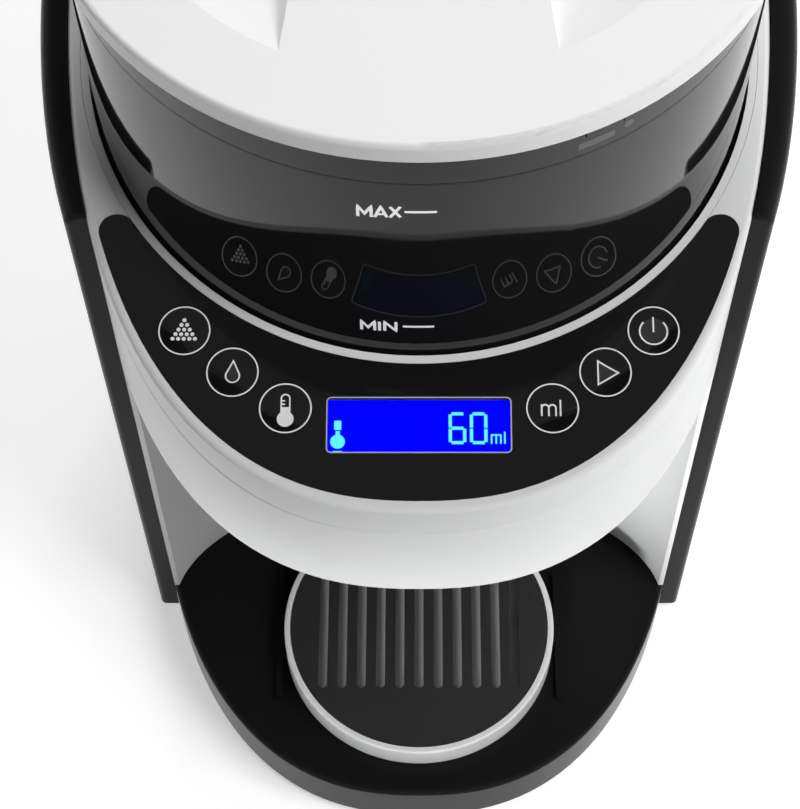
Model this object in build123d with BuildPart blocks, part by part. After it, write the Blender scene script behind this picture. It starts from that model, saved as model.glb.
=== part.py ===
from build123d import *
import os
from math import asin, atan2, copysign, cos, degrees, pi, radians, sin, sqrt, tan

os.makedirs("parts", exist_ok=True)

# Baby formula maker. Millimetres, +Z up. The front of the machine faces -Y. Its plan is one oval, and its
# top slopes down towards the front. It is drawn round the powder container's axis, and each finished piece
# is moved so that the origin is on the worktop in the middle of the oval.

# ---------------------------------------------------------------- driving dimensions
# Plan: an oval |x/a|^n + |y/b|^n = 1 about (0, OVAL_Y)
OVAL_POWER = 2.38
OVAL_Y = 31.0
OVAL_HALF_LENGTH = 159.5
SHELL_TAPER = 7.5  # the black shell's side walls run in this much sooner towards the front
MODULE_HALF_WIDTH = 94.5  # white front module: base, pillars, head and top cover
SIDE_BAND = 8.0  # the black shell stands this much wider on each side
PANEL_EDGE_SIDE = 2.1  # white rim beside the panel
PANEL_EDGE_FRONT = 2.9  # white rim in front of the panel

# Heights
FOOT_HEIGHT = 5.0
FOOT_RADIUS = 9.0
BASE_HEIGHT = 21.0
HEAD_BOTTOM_Z = 189.0
TOP_Z = 258.0  # sloping top, over the container's axis
TOP_SLOPE = 10.04
BEZEL_DEPTH = 12.3  # top cover's rim, measured straight down
SEAT_FLOOR_Z = 203.0

# Walls and clearances
WALL = 2.4
SHELL_WALL = 2.6
GAP = 0.3  # between pieces that move apart
FIT = 0.1  # between pieces that are fitted together
RUNNING = 0.08  # shaft in a bore

# Along Y
SHELL_FRONT_Y = -50.0
MODULE_REAR_Y = 104.0
SHELL_REAR_Y = 116.0
BAY_RETURN_Y = -14.0

# Bottle bay
BAY_HALF_WIDTH = 85.0
BAY_DEPTH = 46.0
BAY_Y = -60.0
LINER_RADIUS = 60.0
LINER_Y = -46.0
LINER_WALL = 2.0
LINER_HALF_WIDTH = 56.0

# Powder container, its seat and lid
SEAT_RADIUS = 88.0
SEAT_RIM = 2.07
CONTAINER_GAP = 0.83
CONTAINER_WALL = 2.4
LID_TOP_Z = 333.0  # overall height
LID_HEIGHT = 5.5
LID_GAP = 1.6
LID_OVERHANG = 3.0
LID_PLUG_DEPTH = 12.5
LID_EDGE_RADIUS = 1.4
SCOOP_RADIUS = 71.0
SCOOP_DEPTH = 12.0
GRIP_END_HALF_WIDTH = 31.0
GRIP_MIDDLE_HALF_WIDTH = 27.0
OUTLET_Y = -62.0
OUTLET_RADIUS = 10.0
WHEEL_THICKNESS = 7.0
WHEEL_POCKETS = 6
STIRRER_ARMS = 3
STIRRER_HEIGHT = 14.0

# Drive
GEAR_MODULE = 1.25
GEAR_TEETH = 50
PINION_TEETH = 14
GEAR_WIDTH = 7.6
SHAFT_RADIUS = 3.0
COUPLER_RADIUS = 8.0
HEX_ACROSS = 9.0
MOTOR_RADIUS = 18.5
MOTOR_LENGTH = 48.0

# Control panel
PANEL_THICKNESS = 1.8
PANEL_FLOOR = 2.0
PANEL_TIP_Y = -49.6
PANEL_TIP_RADIUS = 4.4
BUTTON_RADIUS = 6.65
BUTTON_THICKNESS = 2.1
BUTTON_FLANGE = 1.1
BUTTON_TRAVEL = 0.8
BUTTON_DISH = 0.45
# each button's turn from the front in degrees, and how far it is outside the middle of the crescent
BUTTON_ROW = {
    "powder_button": (-36.141, -0.481),
    "water_button": (-26.92, -0.825),
    "temperature_button": (-18.162, 0.432),
    "volume_button": (18.162, 0.432),
    "start_button": (26.92, -0.825),
    "power_button": (36.141, -0.481),
}
DISPLAY_SHIFT = -1.736
DISPLAY_WIDTH = 46.0
DISPLAY_HEIGHT = 14.5
BOARD_DEPTH = 9.2
BOARD_THICKNESS = 1.6
SWITCH_SIZE = 7.0
SWITCH_HEIGHT = 3.4

# Mixing funnel
FUNNEL_Y = OUTLET_Y
FUNNEL_RADIUS = 30.0
FUNNEL_HALF_WIDTH = 36.9
FLANGE_THICKNESS = 2.5
FUNNEL_DEPTH = 19.0
SPOUT_RADIUS = 8.0
SPOUT_LENGTH = 9.0
FUNNEL_TAB = 18.0
FUNNEL_COVER = 1.6
HEAD_CLEARANCE = 2.0
NOZZLE_X = 10.0
NOZZLE_Y = -40.0
NOZZLE_RADIUS = 4.0

# Bottle stand
STAND_RADIUS = 46.0
STAND_SETBACK = 56.5
STAND_HEIGHT = 10.0
GRID_THICKNESS = 2.0
SLOT_WIDTH = 3.0
SLOT_PITCH = 6.5

# Water side
PLATFORM_HEIGHT = 25.0
TANK_LID = 3.0
TANK_WALL = 2.4
TANK_EDGE = 1.5
LID_EDGE = 1.2
TANK_OUTLET_SHIFT = -1.25
TANK_OUTLET_RADIUS = 11.0
TANK_OUTLET_LENGTH = 11.0
HINGE_SETBACK = 12.5
KNUCKLE_RADIUS = 2.6
KNUCKLE_LENGTH = 40.0
VALVE_LIFT = 4.0
PUMP_Y = 70.0
PUMP_RADIUS = 18.0
PUMP_HEIGHT = 42.0
HEATER_X = 52.0
HEATER_RADIUS = 20.0
HEATER_HEIGHT = 98.0
HOSE_RADIUS = 3.0
HOSE_BORE = 2.0

# ---------------------------------------------------------------- derived sizes
BODY_HALF_WIDTH = MODULE_HALF_WIDTH + SIDE_BAND
FRONT_Y = OVAL_Y - OVAL_HALF_LENGTH
REAR_Y = OVAL_Y + OVAL_HALF_LENGTH
STAND_Y = FRONT_Y + STAND_SETBACK
HINGE_Y = REAR_Y - HINGE_SETBACK
TANK_OUTLET_Y = (SHELL_REAR_Y + REAR_Y) / 2 + TANK_OUTLET_SHIFT
LID_EDGE_Z = LID_TOP_Z - LID_HEIGHT
CONTAINER_TOP_Z = LID_EDGE_Z - LID_GAP
FLOOR_Z = FOOT_HEIGHT
BASE_TOP_Z = FOOT_HEIGHT + BASE_HEIGHT
PLATFORM_Z = FOOT_HEIGHT + PLATFORM_HEIGHT
SLOPE = radians(TOP_SLOPE)
SEAT_OUTER = SEAT_RADIUS + SEAT_RIM
CONTAINER_RADIUS = SEAT_RADIUS - CONTAINER_GAP
CONTAINER_BORE = CONTAINER_RADIUS - CONTAINER_WALL
SEAT_TOP_Z = SEAT_FLOOR_Z + WALL
HEAD_FLOOR_Z = HEAD_BOTTOM_Z + WALL
CONTAINER_BASE_Z = SEAT_TOP_Z + GAP
LID_RADIUS = CONTAINER_RADIUS + LID_OVERHANG
GEAR_RADIUS = GEAR_MODULE * GEAR_TEETH / 2
PINION_RADIUS = GEAR_MODULE * PINION_TEETH / 2
MOTOR_Y = GEAR_RADIUS + PINION_RADIUS


def top_plane(depth=0.0):
    """The sloping top of the machine, or a plane this far below it, square to it."""
    tilted = Plane(origin=(0, 0, TOP_Z), x_dir=(1, 0, 0), z_dir=(0, -sin(SLOPE), cos(SLOPE)))
    return tilted.offset(-depth)


def top_height(y):
    """Height of the sloping top at this distance from the container's axis."""
    return TOP_Z + y * tan(SLOPE)


PARTING_PLANE = top_plane(BEZEL_DEPTH * cos(SLOPE))


def oval_half_width(half_width, y, half_length=OVAL_HALF_LENGTH):
    """Half the width of the plan oval at this Y."""
    return half_width * (1 - abs((y - OVAL_Y) / half_length) ** OVAL_POWER) ** (1 / OVAL_POWER)


def draw_oval(half_width, half_length=OVAL_HALF_LENGTH, mode=Mode.ADD, taper=0.0, count=48):
    """Adds the plan oval to the sketch that is being built, its front half shorter by the taper."""
    points = []
    for step in range(count):
        turn = 2 * pi * step / count
        reach = half_length - taper if sin(turn) < 0 else half_length
        points.append(
            (
                half_width * copysign(abs(cos(turn)) ** (2 / OVAL_POWER), cos(turn)),
                OVAL_Y + reach * copysign(abs(sin(turn)) ** (2 / OVAL_POWER), sin(turn)),
            )
        )
    with BuildLine() as outline:
        Spline(*points, periodic=True)
    make_face(outline.edges(), mode=mode)


def keep_between(front_y, rear_y, size=500.0):
    """Cuts the sketch that is being built down to a band across the machine."""
    with Locations((0, front_y - size / 2)):
        Rectangle(size, size, mode=Mode.SUBTRACT)
    with Locations((0, rear_y + size / 2)):
        Rectangle(size, size, mode=Mode.SUBTRACT)


def finish(part, name):
    """Moves a finished piece to the middle of the oval, names it and writes its file."""
    placed = part.moved(Location((0, -OVAL_Y, 0)))
    placed.label = name
    export_step(placed, f"parts/{name}.step")


# ================================================================ base
BASE_BORE = MODULE_HALF_WIDTH - WALL
BASE_BORE_LENGTH = OVAL_HALF_LENGTH - WALL
BASE_REAR_Y = SHELL_REAR_Y - SHELL_WALL - FIT
BASE_PLATE = 3.0
FOOT_SETBACK = 46.5
FOOT_PLACES = [
    (-55, FRONT_Y + FOOT_SETBACK),
    (55, FRONT_Y + FOOT_SETBACK),
    (-48, REAR_Y - FOOT_SETBACK + 2),
    (48, REAR_Y - FOOT_SETBACK + 2),
]
SCREW_PLACES = [(-66, -42), (66, -42), (-80, 36), (80, 36), (-60, 100), (60, 100)]
SCREW_RADIUS = 1.6
SCREW_HEAD_RADIUS = 3.2
SCREW_HEAD = 1.8
SCREW_LENGTH = 12.0
BOSS_RADIUS = 4.0
STAND_RIB = 2.5
STAND_RIB_WIDTH = 2.0
STAND_GAP = 0.6
HOSE_Z = 18.0

with BuildPart() as rubber_feet:
    with BuildSketch(Plane.XY):
        with Locations(*FOOT_PLACES):
            Circle(FOOT_RADIUS)
    extrude(amount=FOOT_HEIGHT)
    chamfer(rubber_feet.edges().group_by(Axis.Z)[0], 0.8)
    with BuildSketch(Plane.XY.offset(FOOT_HEIGHT)):
        with Locations(*FOOT_PLACES):
            Circle(SHAFT_RADIUS - FIT)
    extrude(amount=BASE_PLATE - 0.5)

with BuildPart() as base_plate:
    with BuildSketch(Plane.XY.offset(FLOOR_Z)):
        draw_oval(BASE_BORE - FIT, BASE_BORE_LENGTH - FIT)
    extrude(amount=BASE_PLATE)
    with BuildSketch(Plane.XY.offset(FLOOR_Z)):
        with Locations(*FOOT_PLACES):
            Circle(SHAFT_RADIUS)
        with Locations(*SCREW_PLACES):
            Circle(SCREW_RADIUS + FIT)
    extrude(amount=BASE_PLATE, mode=Mode.SUBTRACT)
    with BuildSketch(Plane.XY.offset(FLOOR_Z)):
        with Locations(*SCREW_PLACES):
            Circle(SCREW_HEAD_RADIUS + FIT)
    extrude(amount=SCREW_HEAD, mode=Mode.SUBTRACT)

with BuildPart() as base_screws:
    with BuildSketch(Plane.XY.offset(FLOOR_Z)):
        with Locations(*SCREW_PLACES):
            Circle(SCREW_HEAD_RADIUS)
    extrude(amount=SCREW_HEAD)
    with BuildSketch(Plane.XY.offset(FLOOR_Z)):
        with Locations(*SCREW_PLACES):
            Rectangle(0.8, 4)
            Rectangle(4, 0.8)
    extrude(amount=0.9, mode=Mode.SUBTRACT)
    with BuildSketch(Plane.XY.offset(FLOOR_Z + SCREW_HEAD)):
        with Locations(*SCREW_PLACES):
            Circle(SCREW_RADIUS)
    extrude(amount=SCREW_LENGTH)

with BuildPart() as base_shell:
    with BuildSketch(Plane.XY.offset(FLOOR_Z)):
        draw_oval(MODULE_HALF_WIDTH)
        keep_between(-500, BASE_REAR_Y)
    extrude(amount=BASE_HEIGHT)
    fillet(base_shell.faces().sort_by(Axis.Z)[-1].edges().sort_by(SortBy.LENGTH)[-1], 2.0)
    with BuildSketch(Plane.XY.offset(FLOOR_Z)):
        draw_oval(BASE_BORE, BASE_BORE_LENGTH)
        keep_between(-500, BASE_REAR_Y - WALL)
    extrude(amount=BASE_HEIGHT - WALL, mode=Mode.SUBTRACT)
    with BuildSketch(Plane.XY.offset(FLOOR_Z)):
        draw_oval(BASE_BORE, BASE_BORE_LENGTH)
        keep_between(BASE_REAR_Y - WALL - FIT, BASE_REAR_Y + FIT)
    extrude(amount=BASE_PLATE, mode=Mode.SUBTRACT)
    # screw bosses under the top
    with BuildSketch(Plane.XY.offset(FLOOR_Z + BASE_PLATE)):
        with Locations(*SCREW_PLACES):
            Circle(BOSS_RADIUS)
    extrude(amount=BASE_HEIGHT - BASE_PLATE - WALL / 2)
    with BuildSketch(Plane.XY.offset(FLOOR_Z + BASE_PLATE)):
        with Locations(*SCREW_PLACES):
            Circle(SCREW_RADIUS + FIT)
    extrude(amount=SCREW_LENGTH, mode=Mode.SUBTRACT)
    # guide ribs beside the bottle stand
    with BuildSketch(Plane.XY.offset(BASE_TOP_Z)):
        rib_x = STAND_RADIUS + STAND_GAP + STAND_RIB_WIDTH / 2
        with Locations((-rib_x, STAND_Y), (rib_x, STAND_Y)):
            Rectangle(STAND_RIB_WIDTH, STAND_RADIUS)
    extrude(amount=STAND_RIB)
    # hose ways: through the rear wall and up under the pump
    with BuildSketch(Plane.XZ.offset(-BASE_REAR_Y)):
        with Locations((0, HOSE_Z)):
            Circle(HOSE_RADIUS + 0.6)
    extrude(amount=WALL, mode=Mode.SUBTRACT)
    with BuildSketch(Plane.XY.offset(BASE_TOP_Z - WALL)):
        with Locations((0, PUMP_Y)):
            Circle(HOSE_RADIUS + 0.6)
    extrude(amount=WALL, mode=Mode.SUBTRACT)

# ================================================================ black outer shell with the tank's platform
SHELL_BORE = BODY_HALF_WIDTH - SHELL_WALL
SHELL_BORE_LENGTH = OVAL_HALF_LENGTH - SHELL_WALL
SHELL_TOP_DEPTH = 2.6
SHELL_EDGE = 2.2
SHELL_TOP_EDGE = 5.0
SOCKET_WALL = 2.6
SOCKET_RADIUS = TANK_OUTLET_RADIUS + 0.6 + SOCKET_WALL
GLAND_X = 46.0
GLAND_Z = 17.0
GLAND_RADIUS = 6.0
ACCESS_WIDTH = 60.0

with BuildPart() as body_shell:
    with BuildSketch(Plane.XY.offset(FLOOR_Z)):
        draw_oval(BODY_HALF_WIDTH, taper=SHELL_TAPER)
        keep_between(SHELL_FRONT_Y, SHELL_REAR_Y)
    extrude(amount=LID_TOP_Z - FLOOR_Z)
    split(bisect_by=top_plane(), keep=Keep.BOTTOM)
    shell_top = body_shell.faces().filter_by(lambda f: f.normal_at().dot(top_plane().z_dir) > 0.999)[0]
    fillet(shell_top.edges().filter_by(lambda e: abs(e.center().X) > BODY_HALF_WIDTH / 2), SHELL_TOP_EDGE)
    front_edges = body_shell.edges().filter_by(Axis.Z).group_by(Axis.Y)[0]
    fillet(front_edges, SHELL_EDGE)
    # room for the white module, and the hollow inside the side walls
    with BuildSketch(Plane.XY.offset(FLOOR_Z)):
        draw_oval(MODULE_HALF_WIDTH + FIT, OVAL_HALF_LENGTH + FIT)
        keep_between(-500, MODULE_REAR_Y + FIT)
    extrude(amount=LID_TOP_Z - FLOOR_Z, mode=Mode.SUBTRACT)
    with BuildSketch(Plane.XY.offset(FLOOR_Z)):
        draw_oval(MODULE_HALF_WIDTH + FIT, OVAL_HALF_LENGTH + FIT)
        keep_between(-500, SHELL_REAR_Y - SHELL_WALL)
    extrude(amount=BASE_HEIGHT + FIT, mode=Mode.SUBTRACT)
    with BuildSketch(Plane.XY.offset(FLOOR_Z + SHELL_WALL), mode=Mode.PRIVATE) as hollow_plan:
        draw_oval(SHELL_BORE, SHELL_BORE_LENGTH, taper=SHELL_TAPER)
        keep_between(SHELL_FRONT_Y + SHELL_WALL, SHELL_REAR_Y - SHELL_WALL)
    hollow = extrude(hollow_plan.sketch, amount=LID_TOP_Z, mode=Mode.PRIVATE)
    add(hollow.split(top_plane(SHELL_TOP_DEPTH), keep=Keep.BOTTOM), mode=Mode.SUBTRACT)
    # platform under the tank
    with BuildSketch(Plane.XY.offset(FLOOR_Z)):
        draw_oval(BODY_HALF_WIDTH, taper=SHELL_TAPER)
        keep_between(SHELL_REAR_Y - SHELL_WALL, 500)
    extrude(amount=PLATFORM_HEIGHT)
    with BuildSketch(Plane.XY.offset(FLOOR_Z)):
        draw_oval(BASE_BORE, BASE_BORE_LENGTH)
        keep_between(SHELL_REAR_Y, 500)
    extrude(amount=PLATFORM_HEIGHT - SHELL_WALL, mode=Mode.SUBTRACT)
    with BuildSketch(Plane.XY.offset(FLOOR_Z)):
        draw_oval(BASE_BORE, BASE_BORE_LENGTH)
        keep_between(SHELL_REAR_Y - SHELL_WALL - FIT, SHELL_REAR_Y + FIT)
    extrude(amount=BASE_PLATE, mode=Mode.SUBTRACT)
    # socket, hose and cord openings
    with BuildSketch(Plane.XY.offset(PLATFORM_Z - SHELL_WALL)):
        with Locations((0, TANK_OUTLET_Y)):
            Circle(SOCKET_RADIUS + FIT)
    extrude(amount=SHELL_WALL, mode=Mode.SUBTRACT)
    with BuildSketch(Plane.XZ.offset(-SHELL_REAR_Y - FIT)):
        with Locations((0, HOSE_Z)):
            Circle(HOSE_RADIUS + 0.6)
    extrude(amount=SHELL_WALL + 2 * FIT, mode=Mode.SUBTRACT)
    with BuildSketch(Plane.XZ.offset(-200)):
        with Locations((GLAND_X, GLAND_Z)):
            Circle(GLAND_RADIUS + FIT)
    extrude(amount=60, mode=Mode.SUBTRACT)

# ================================================================ white pillars and the bay behind the bottle
with BuildPart() as front_shell:
    with BuildSketch(Plane.XY.offset(BASE_TOP_Z)):
        with Locations((0, BAY_Y)):
            Ellipse(BAY_HALF_WIDTH + WALL, BAY_DEPTH + WALL)
        with Locations((0, LINER_Y)):
            Circle(LINER_RADIUS + LINER_WALL + WALL)
        draw_oval(MODULE_HALF_WIDTH, mode=Mode.INTERSECT)
        with Locations((0, BAY_Y)):
            Ellipse(BAY_HALF_WIDTH, BAY_DEPTH, mode=Mode.SUBTRACT)
        with Locations((0, LINER_Y)):
            Circle(LINER_RADIUS + LINER_WALL, mode=Mode.SUBTRACT)
        keep_between(SHELL_FRONT_Y - WALL, 500)
    extrude(amount=HEAD_BOTTOM_Z - BASE_TOP_Z)
    with BuildSketch(Plane.XY.offset(BASE_TOP_Z)):
        draw_oval(MODULE_HALF_WIDTH)
        draw_oval(BASE_BORE, BASE_BORE_LENGTH, mode=Mode.SUBTRACT)
        keep_between(SHELL_FRONT_Y - WALL, BAY_RETURN_Y)
        with Locations((0, BAY_Y)):
            Ellipse(BAY_HALF_WIDTH, BAY_DEPTH, mode=Mode.SUBTRACT)
    extrude(amount=HEAD_BOTTOM_Z - BASE_TOP_Z)

with BuildPart() as recess_liner:
    with BuildSketch(Plane.XY.offset(BASE_TOP_Z)):
        with Locations((0, LINER_Y)):
            Circle(LINER_RADIUS + LINER_WALL)
            Circle(LINER_RADIUS, mode=Mode.SUBTRACT)
        with Locations((0, 0)):
            Rectangle(2 * LINER_HALF_WIDTH, 500, mode=Mode.INTERSECT)
        keep_between(LINER_Y, 500)
    extrude(amount=HEAD_BOTTOM_Z - BASE_TOP_Z)

# ================================================================ head
NOZZLE_FLANGE = 5.5
CHUTE_WALL = 2.0
CHUTE_BORE = OUTLET_RADIUS + 1.0
CHUTE_RADIUS = CHUTE_BORE + CHUTE_WALL
CHUTE_FLANGE = CHUTE_RADIUS + 4.0
MOTOR_SHAFT_HOLE = SHAFT_RADIUS + 0.5
POST_PLACES = [(-62, -34), (62, -34), (-64, 44), (64, 44)]
POST_RADIUS = 4.5
SCREW_ANGLES = [45, 135, 225, 315]
MOTOR_SCREW_CIRCLE = 12.5
MOTOR_SCREW_RADIUS = 1.4
MOTOR_SCREW_HEAD = 2.6

with BuildPart() as head_shell:
    with BuildSketch(Plane.XY.offset(HEAD_BOTTOM_Z)):
        draw_oval(MODULE_HALF_WIDTH)
        keep_between(-500, MODULE_REAR_Y)
    extrude(amount=LID_TOP_Z - HEAD_BOTTOM_Z)
    split(bisect_by=PARTING_PLANE, keep=Keep.BOTTOM)
    fillet(head_shell.faces().sort_by(Axis.Z)[0].edges().sort_by(SortBy.LENGTH)[-1], 1.2)
    with BuildSketch(Plane.XY.offset(HEAD_FLOOR_Z)):
        draw_oval(BASE_BORE, BASE_BORE_LENGTH)
        keep_between(-500, MODULE_REAR_Y - WALL)
    extrude(amount=LID_TOP_Z - HEAD_FLOOR_Z, mode=Mode.SUBTRACT)
    with BuildSketch(Plane.XY.offset(HEAD_BOTTOM_Z)):
        with Locations((0, OUTLET_Y)):
            Circle(CHUTE_RADIUS + FIT)
        with Locations((NOZZLE_X, NOZZLE_Y)):
            Circle(NOZZLE_RADIUS + FIT)
        with Locations((0, MOTOR_Y)):
            Circle(MOTOR_SHAFT_HOLE)
            with PolarLocations(MOTOR_SCREW_CIRCLE, 4, start_angle=45):
                Circle(MOTOR_SCREW_RADIUS + FIT)
        with Locations((0, 0)):
            Circle(SHAFT_RADIUS + 0.05)
        with Locations(*POST_PLACES):
            Circle(SCREW_RADIUS + FIT)
        with Locations((HEATER_X, PUMP_Y)):
            Circle(HOSE_RADIUS + 0.6)
    extrude(amount=WALL, mode=Mode.SUBTRACT)
    rim = head_shell.faces().filter_by(lambda f: f.normal_at().dot(top_plane().z_dir) > 0.999)
    chamfer(rim.sort_by(Axis.Z)[-1].edges().sort_by(SortBy.LENGTH)[-1], 0.35)

COVER_BORE = MODULE_HALF_WIDTH - WALL
SEAT_HOLE = SEAT_OUTER + FIT
PANEL_HALF_WIDTH = MODULE_HALF_WIDTH - PANEL_EDGE_SIDE
PANEL_HALF_LENGTH = OVAL_HALF_LENGTH - PANEL_EDGE_FRONT


def panel_reach(turn):
    """Distance from the container's axis to the panel's outer edge, this many degrees from the front."""
    low, high = 0.0, 2 * OVAL_HALF_LENGTH
    for _ in range(50):
        reach = (low + high) / 2
        across, ahead = abs(reach * sin(radians(turn))), reach * cos(radians(turn)) + OVAL_Y
        inside = (across / PANEL_HALF_WIDTH) ** OVAL_POWER + (ahead / PANEL_HALF_LENGTH) ** OVAL_POWER < 1
        low, high = (reach, high) if inside else (low, reach)
    return low


def crescent_place(turn, shift):
    """A point of the sloping top on the middle line of the crescent, moved outwards by the shift."""
    middle = (SEAT_HOLE + panel_reach(turn)) / 2 + shift
    return (middle * sin(radians(turn)), -middle * cos(radians(turn)) / cos(SLOPE))


BUTTON_PLACES = {name: crescent_place(*place) for name, place in BUTTON_ROW.items()}
DISPLAY_Y = crescent_place(0, DISPLAY_SHIFT)[1]


def tip_limit(grow):
    """The largest radius that both corners of a crescent's tip have room for."""
    y, step = PANEL_TIP_Y + grow, 0.5
    inner = [sqrt((SEAT_HOLE - grow) ** 2 - (y - d) ** 2) for d in (0, step)]
    outer = [oval_half_width(PANEL_HALF_WIDTH + grow, y - d, PANEL_HALF_LENGTH + grow) for d in (0, step)]
    inner_lean, outer_lean = [atan2(side[0] - side[1], step) for side in (inner, outer)]
    return 0.98 * (outer[0] - inner[0]) / (tan((pi / 2 - inner_lean) / 2) + tan((pi / 2 + outer_lean) / 2))


def draw_panel(grow=0.0):
    """Adds the crescent of the control panel, larger all round by this much, with rounded tips."""
    with BuildSketch(mode=Mode.PRIVATE) as crescent:
        draw_oval(PANEL_HALF_WIDTH + grow, PANEL_HALF_LENGTH + grow)
        keep_between(-500, PANEL_TIP_Y + grow)
        Circle(SEAT_OUTER + FIT - grow, mode=Mode.SUBTRACT)
        tips = crescent.vertices().group_by(Axis.Y)[-1]
        fillet(tips, min(PANEL_TIP_RADIUS + grow, tip_limit(grow)))
    add(crescent.sketch)


LCD_BORDER = 0.15
BUTTON_HOLE = BUTTON_RADIUS + GAP
BUTTON_FLANGE_RADIUS = BUTTON_RADIUS + 1.1
BUTTON_POCKET = BUTTON_FLANGE_RADIUS + 0.4
BOARD_POSTS = [(-70.0, -66.0), (70.0, -66.0), (-17.0, -94.5), (17.0, -94.5)]
BOARD_POST_RADIUS = 2.5

with BuildPart() as top_cover:
    with BuildSketch(Plane.XY.offset(HEAD_BOTTOM_Z)):
        draw_oval(MODULE_HALF_WIDTH)
        keep_between(-500, MODULE_REAR_Y)
    extrude(amount=LID_TOP_Z - HEAD_BOTTOM_Z)
    split(bisect_by=top_plane(), keep=Keep.BOTTOM)
    split(bisect_by=PARTING_PLANE, keep=Keep.TOP)
    lower = top_cover.faces().filter_by(lambda f: f.normal_at().dot(top_plane().z_dir) < -0.999)
    chamfer(lower.sort_by(Axis.Z)[0].edges().sort_by(SortBy.LENGTH)[-1], 0.35)
    upper = top_cover.faces().filter_by(lambda f: f.normal_at().dot(top_plane().z_dir) > 0.999)
    fillet(upper.sort_by(Axis.Z)[-1].edges().sort_by(SortBy.LENGTH)[-1], 1.6)
    with BuildSketch(Plane.XY.offset(HEAD_BOTTOM_Z), mode=Mode.PRIVATE) as cover_plan:
        draw_oval(COVER_BORE, OVAL_HALF_LENGTH - WALL)
        keep_between(-500, MODULE_REAR_Y - WALL)
    cover_room = extrude(cover_plan.sketch, amount=LID_TOP_Z - HEAD_BOTTOM_Z, mode=Mode.PRIVATE)
    cover_roof = PANEL_THICKNESS + PANEL_FLOOR
    add(cover_room.split(top_plane(cover_roof), keep=Keep.BOTTOM), mode=Mode.SUBTRACT)
    with BuildSketch(Plane.XY.offset(HEAD_BOTTOM_Z)):
        Circle(SEAT_HOLE)
    extrude(amount=LID_TOP_Z - HEAD_BOTTOM_Z, mode=Mode.SUBTRACT)
    # recess for the panel
    with BuildSketch(Plane.XY.offset(HEAD_BOTTOM_Z), mode=Mode.PRIVATE) as recess_plan:
        draw_panel(FIT)
    recess_room = extrude(recess_plan.sketch, amount=LID_TOP_Z - HEAD_BOTTOM_Z, mode=Mode.PRIVATE)
    add(recess_room.split(top_plane(PANEL_THICKNESS), keep=Keep.TOP), mode=Mode.SUBTRACT)
    # button and display openings, and posts that carry the control board
    with BuildSketch(top_plane(cover_roof)):
        with Locations(*BUTTON_PLACES.values()):
            Circle(BUTTON_POCKET)
        with Locations((0, DISPLAY_Y)):
            Rectangle(DISPLAY_WIDTH + 2 * FIT, DISPLAY_HEIGHT + 2 * FIT)
    extrude(amount=PANEL_FLOOR, mode=Mode.SUBTRACT)
    with BuildSketch(top_plane(BOARD_DEPTH)):
        with Locations(*BOARD_POSTS):
            Circle(BOARD_POST_RADIUS)
    extrude(amount=BOARD_DEPTH - cover_roof)

with BuildPart() as container_seat:
    with BuildSketch(Plane.XY.offset(SEAT_FLOOR_Z)):
        Circle(SEAT_OUTER)
    extrude(amount=LID_TOP_Z - SEAT_FLOOR_Z)
    with BuildSketch(Plane.XY.offset(SEAT_TOP_Z)):
        Circle(SEAT_RADIUS)
    extrude(amount=LID_TOP_Z - SEAT_TOP_Z, mode=Mode.SUBTRACT)
    split(bisect_by=top_plane(), keep=Keep.BOTTOM)
    with BuildSketch(Plane.XY.offset(SEAT_FLOOR_Z)):
        Circle(COUPLER_RADIUS + 3.0)
        with Locations((0, OUTLET_Y)):
            Circle(CHUTE_BORE)
    extrude(amount=WALL, mode=Mode.SUBTRACT)
    with BuildSketch(Plane.XY.offset(HEAD_FLOOR_Z)):
        with Locations(*POST_PLACES):
            Circle(POST_RADIUS)
            Circle(SCREW_RADIUS + FIT, mode=Mode.SUBTRACT)
    extrude(amount=SEAT_FLOOR_Z - HEAD_FLOOR_Z)

with BuildPart() as powder_chute:
    with BuildSketch(Plane.XY.offset(HEAD_BOTTOM_Z - HEAD_CLEARANCE + 0.5)):
        with Locations((0, OUTLET_Y)):
            Circle(CHUTE_RADIUS)
    extrude(amount=SEAT_FLOOR_Z - HEAD_BOTTOM_Z + HEAD_CLEARANCE - 0.5)
    with BuildSketch(Plane.XY.offset(HEAD_FLOOR_Z)):
        with Locations((0, OUTLET_Y)):
            Circle(CHUTE_FLANGE)
    extrude(amount=1.6)
    with BuildSketch(Plane.XY.offset(HEAD_BOTTOM_Z - 5)):
        with Locations((0, OUTLET_Y)):
            Circle(CHUTE_BORE)
    extrude(amount=SEAT_FLOOR_Z - HEAD_BOTTOM_Z + 5, mode=Mode.SUBTRACT)

NOZZLE_HOSE_Z = 197.0

with BuildPart() as water_nozzle:
    with BuildSketch(Plane.XY.offset(HEAD_BOTTOM_Z - HEAD_CLEARANCE + 0.5)):
        with Locations((NOZZLE_X, NOZZLE_Y)):
            Circle(NOZZLE_RADIUS)
    extrude(amount=NOZZLE_HOSE_Z + HOSE_RADIUS + 1 - HEAD_BOTTOM_Z + HEAD_CLEARANCE - 0.5)
    with BuildSketch(Plane.XY.offset(HEAD_FLOOR_Z)):
        with Locations((NOZZLE_X, NOZZLE_Y)):
            Circle(NOZZLE_FLANGE)
    extrude(amount=1.4)
    with BuildSketch(Plane.YZ.offset(NOZZLE_X)):
        with Locations((NOZZLE_Y, NOZZLE_HOSE_Z)):
            Circle(HOSE_BORE - 0.05)
    extrude(amount=10)
    with BuildSketch(Plane.XY.offset(HEAD_BOTTOM_Z - 5)):
        with Locations((NOZZLE_X, NOZZLE_Y)):
            Circle(1.6)
    extrude(amount=NOZZLE_HOSE_Z - HEAD_BOTTOM_Z + 5, mode=Mode.SUBTRACT)
    with BuildSketch(Plane.YZ.offset(NOZZLE_X)):
        with Locations((NOZZLE_Y, NOZZLE_HOSE_Z)):
            Circle(1.0)
    extrude(amount=10, mode=Mode.SUBTRACT)

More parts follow.
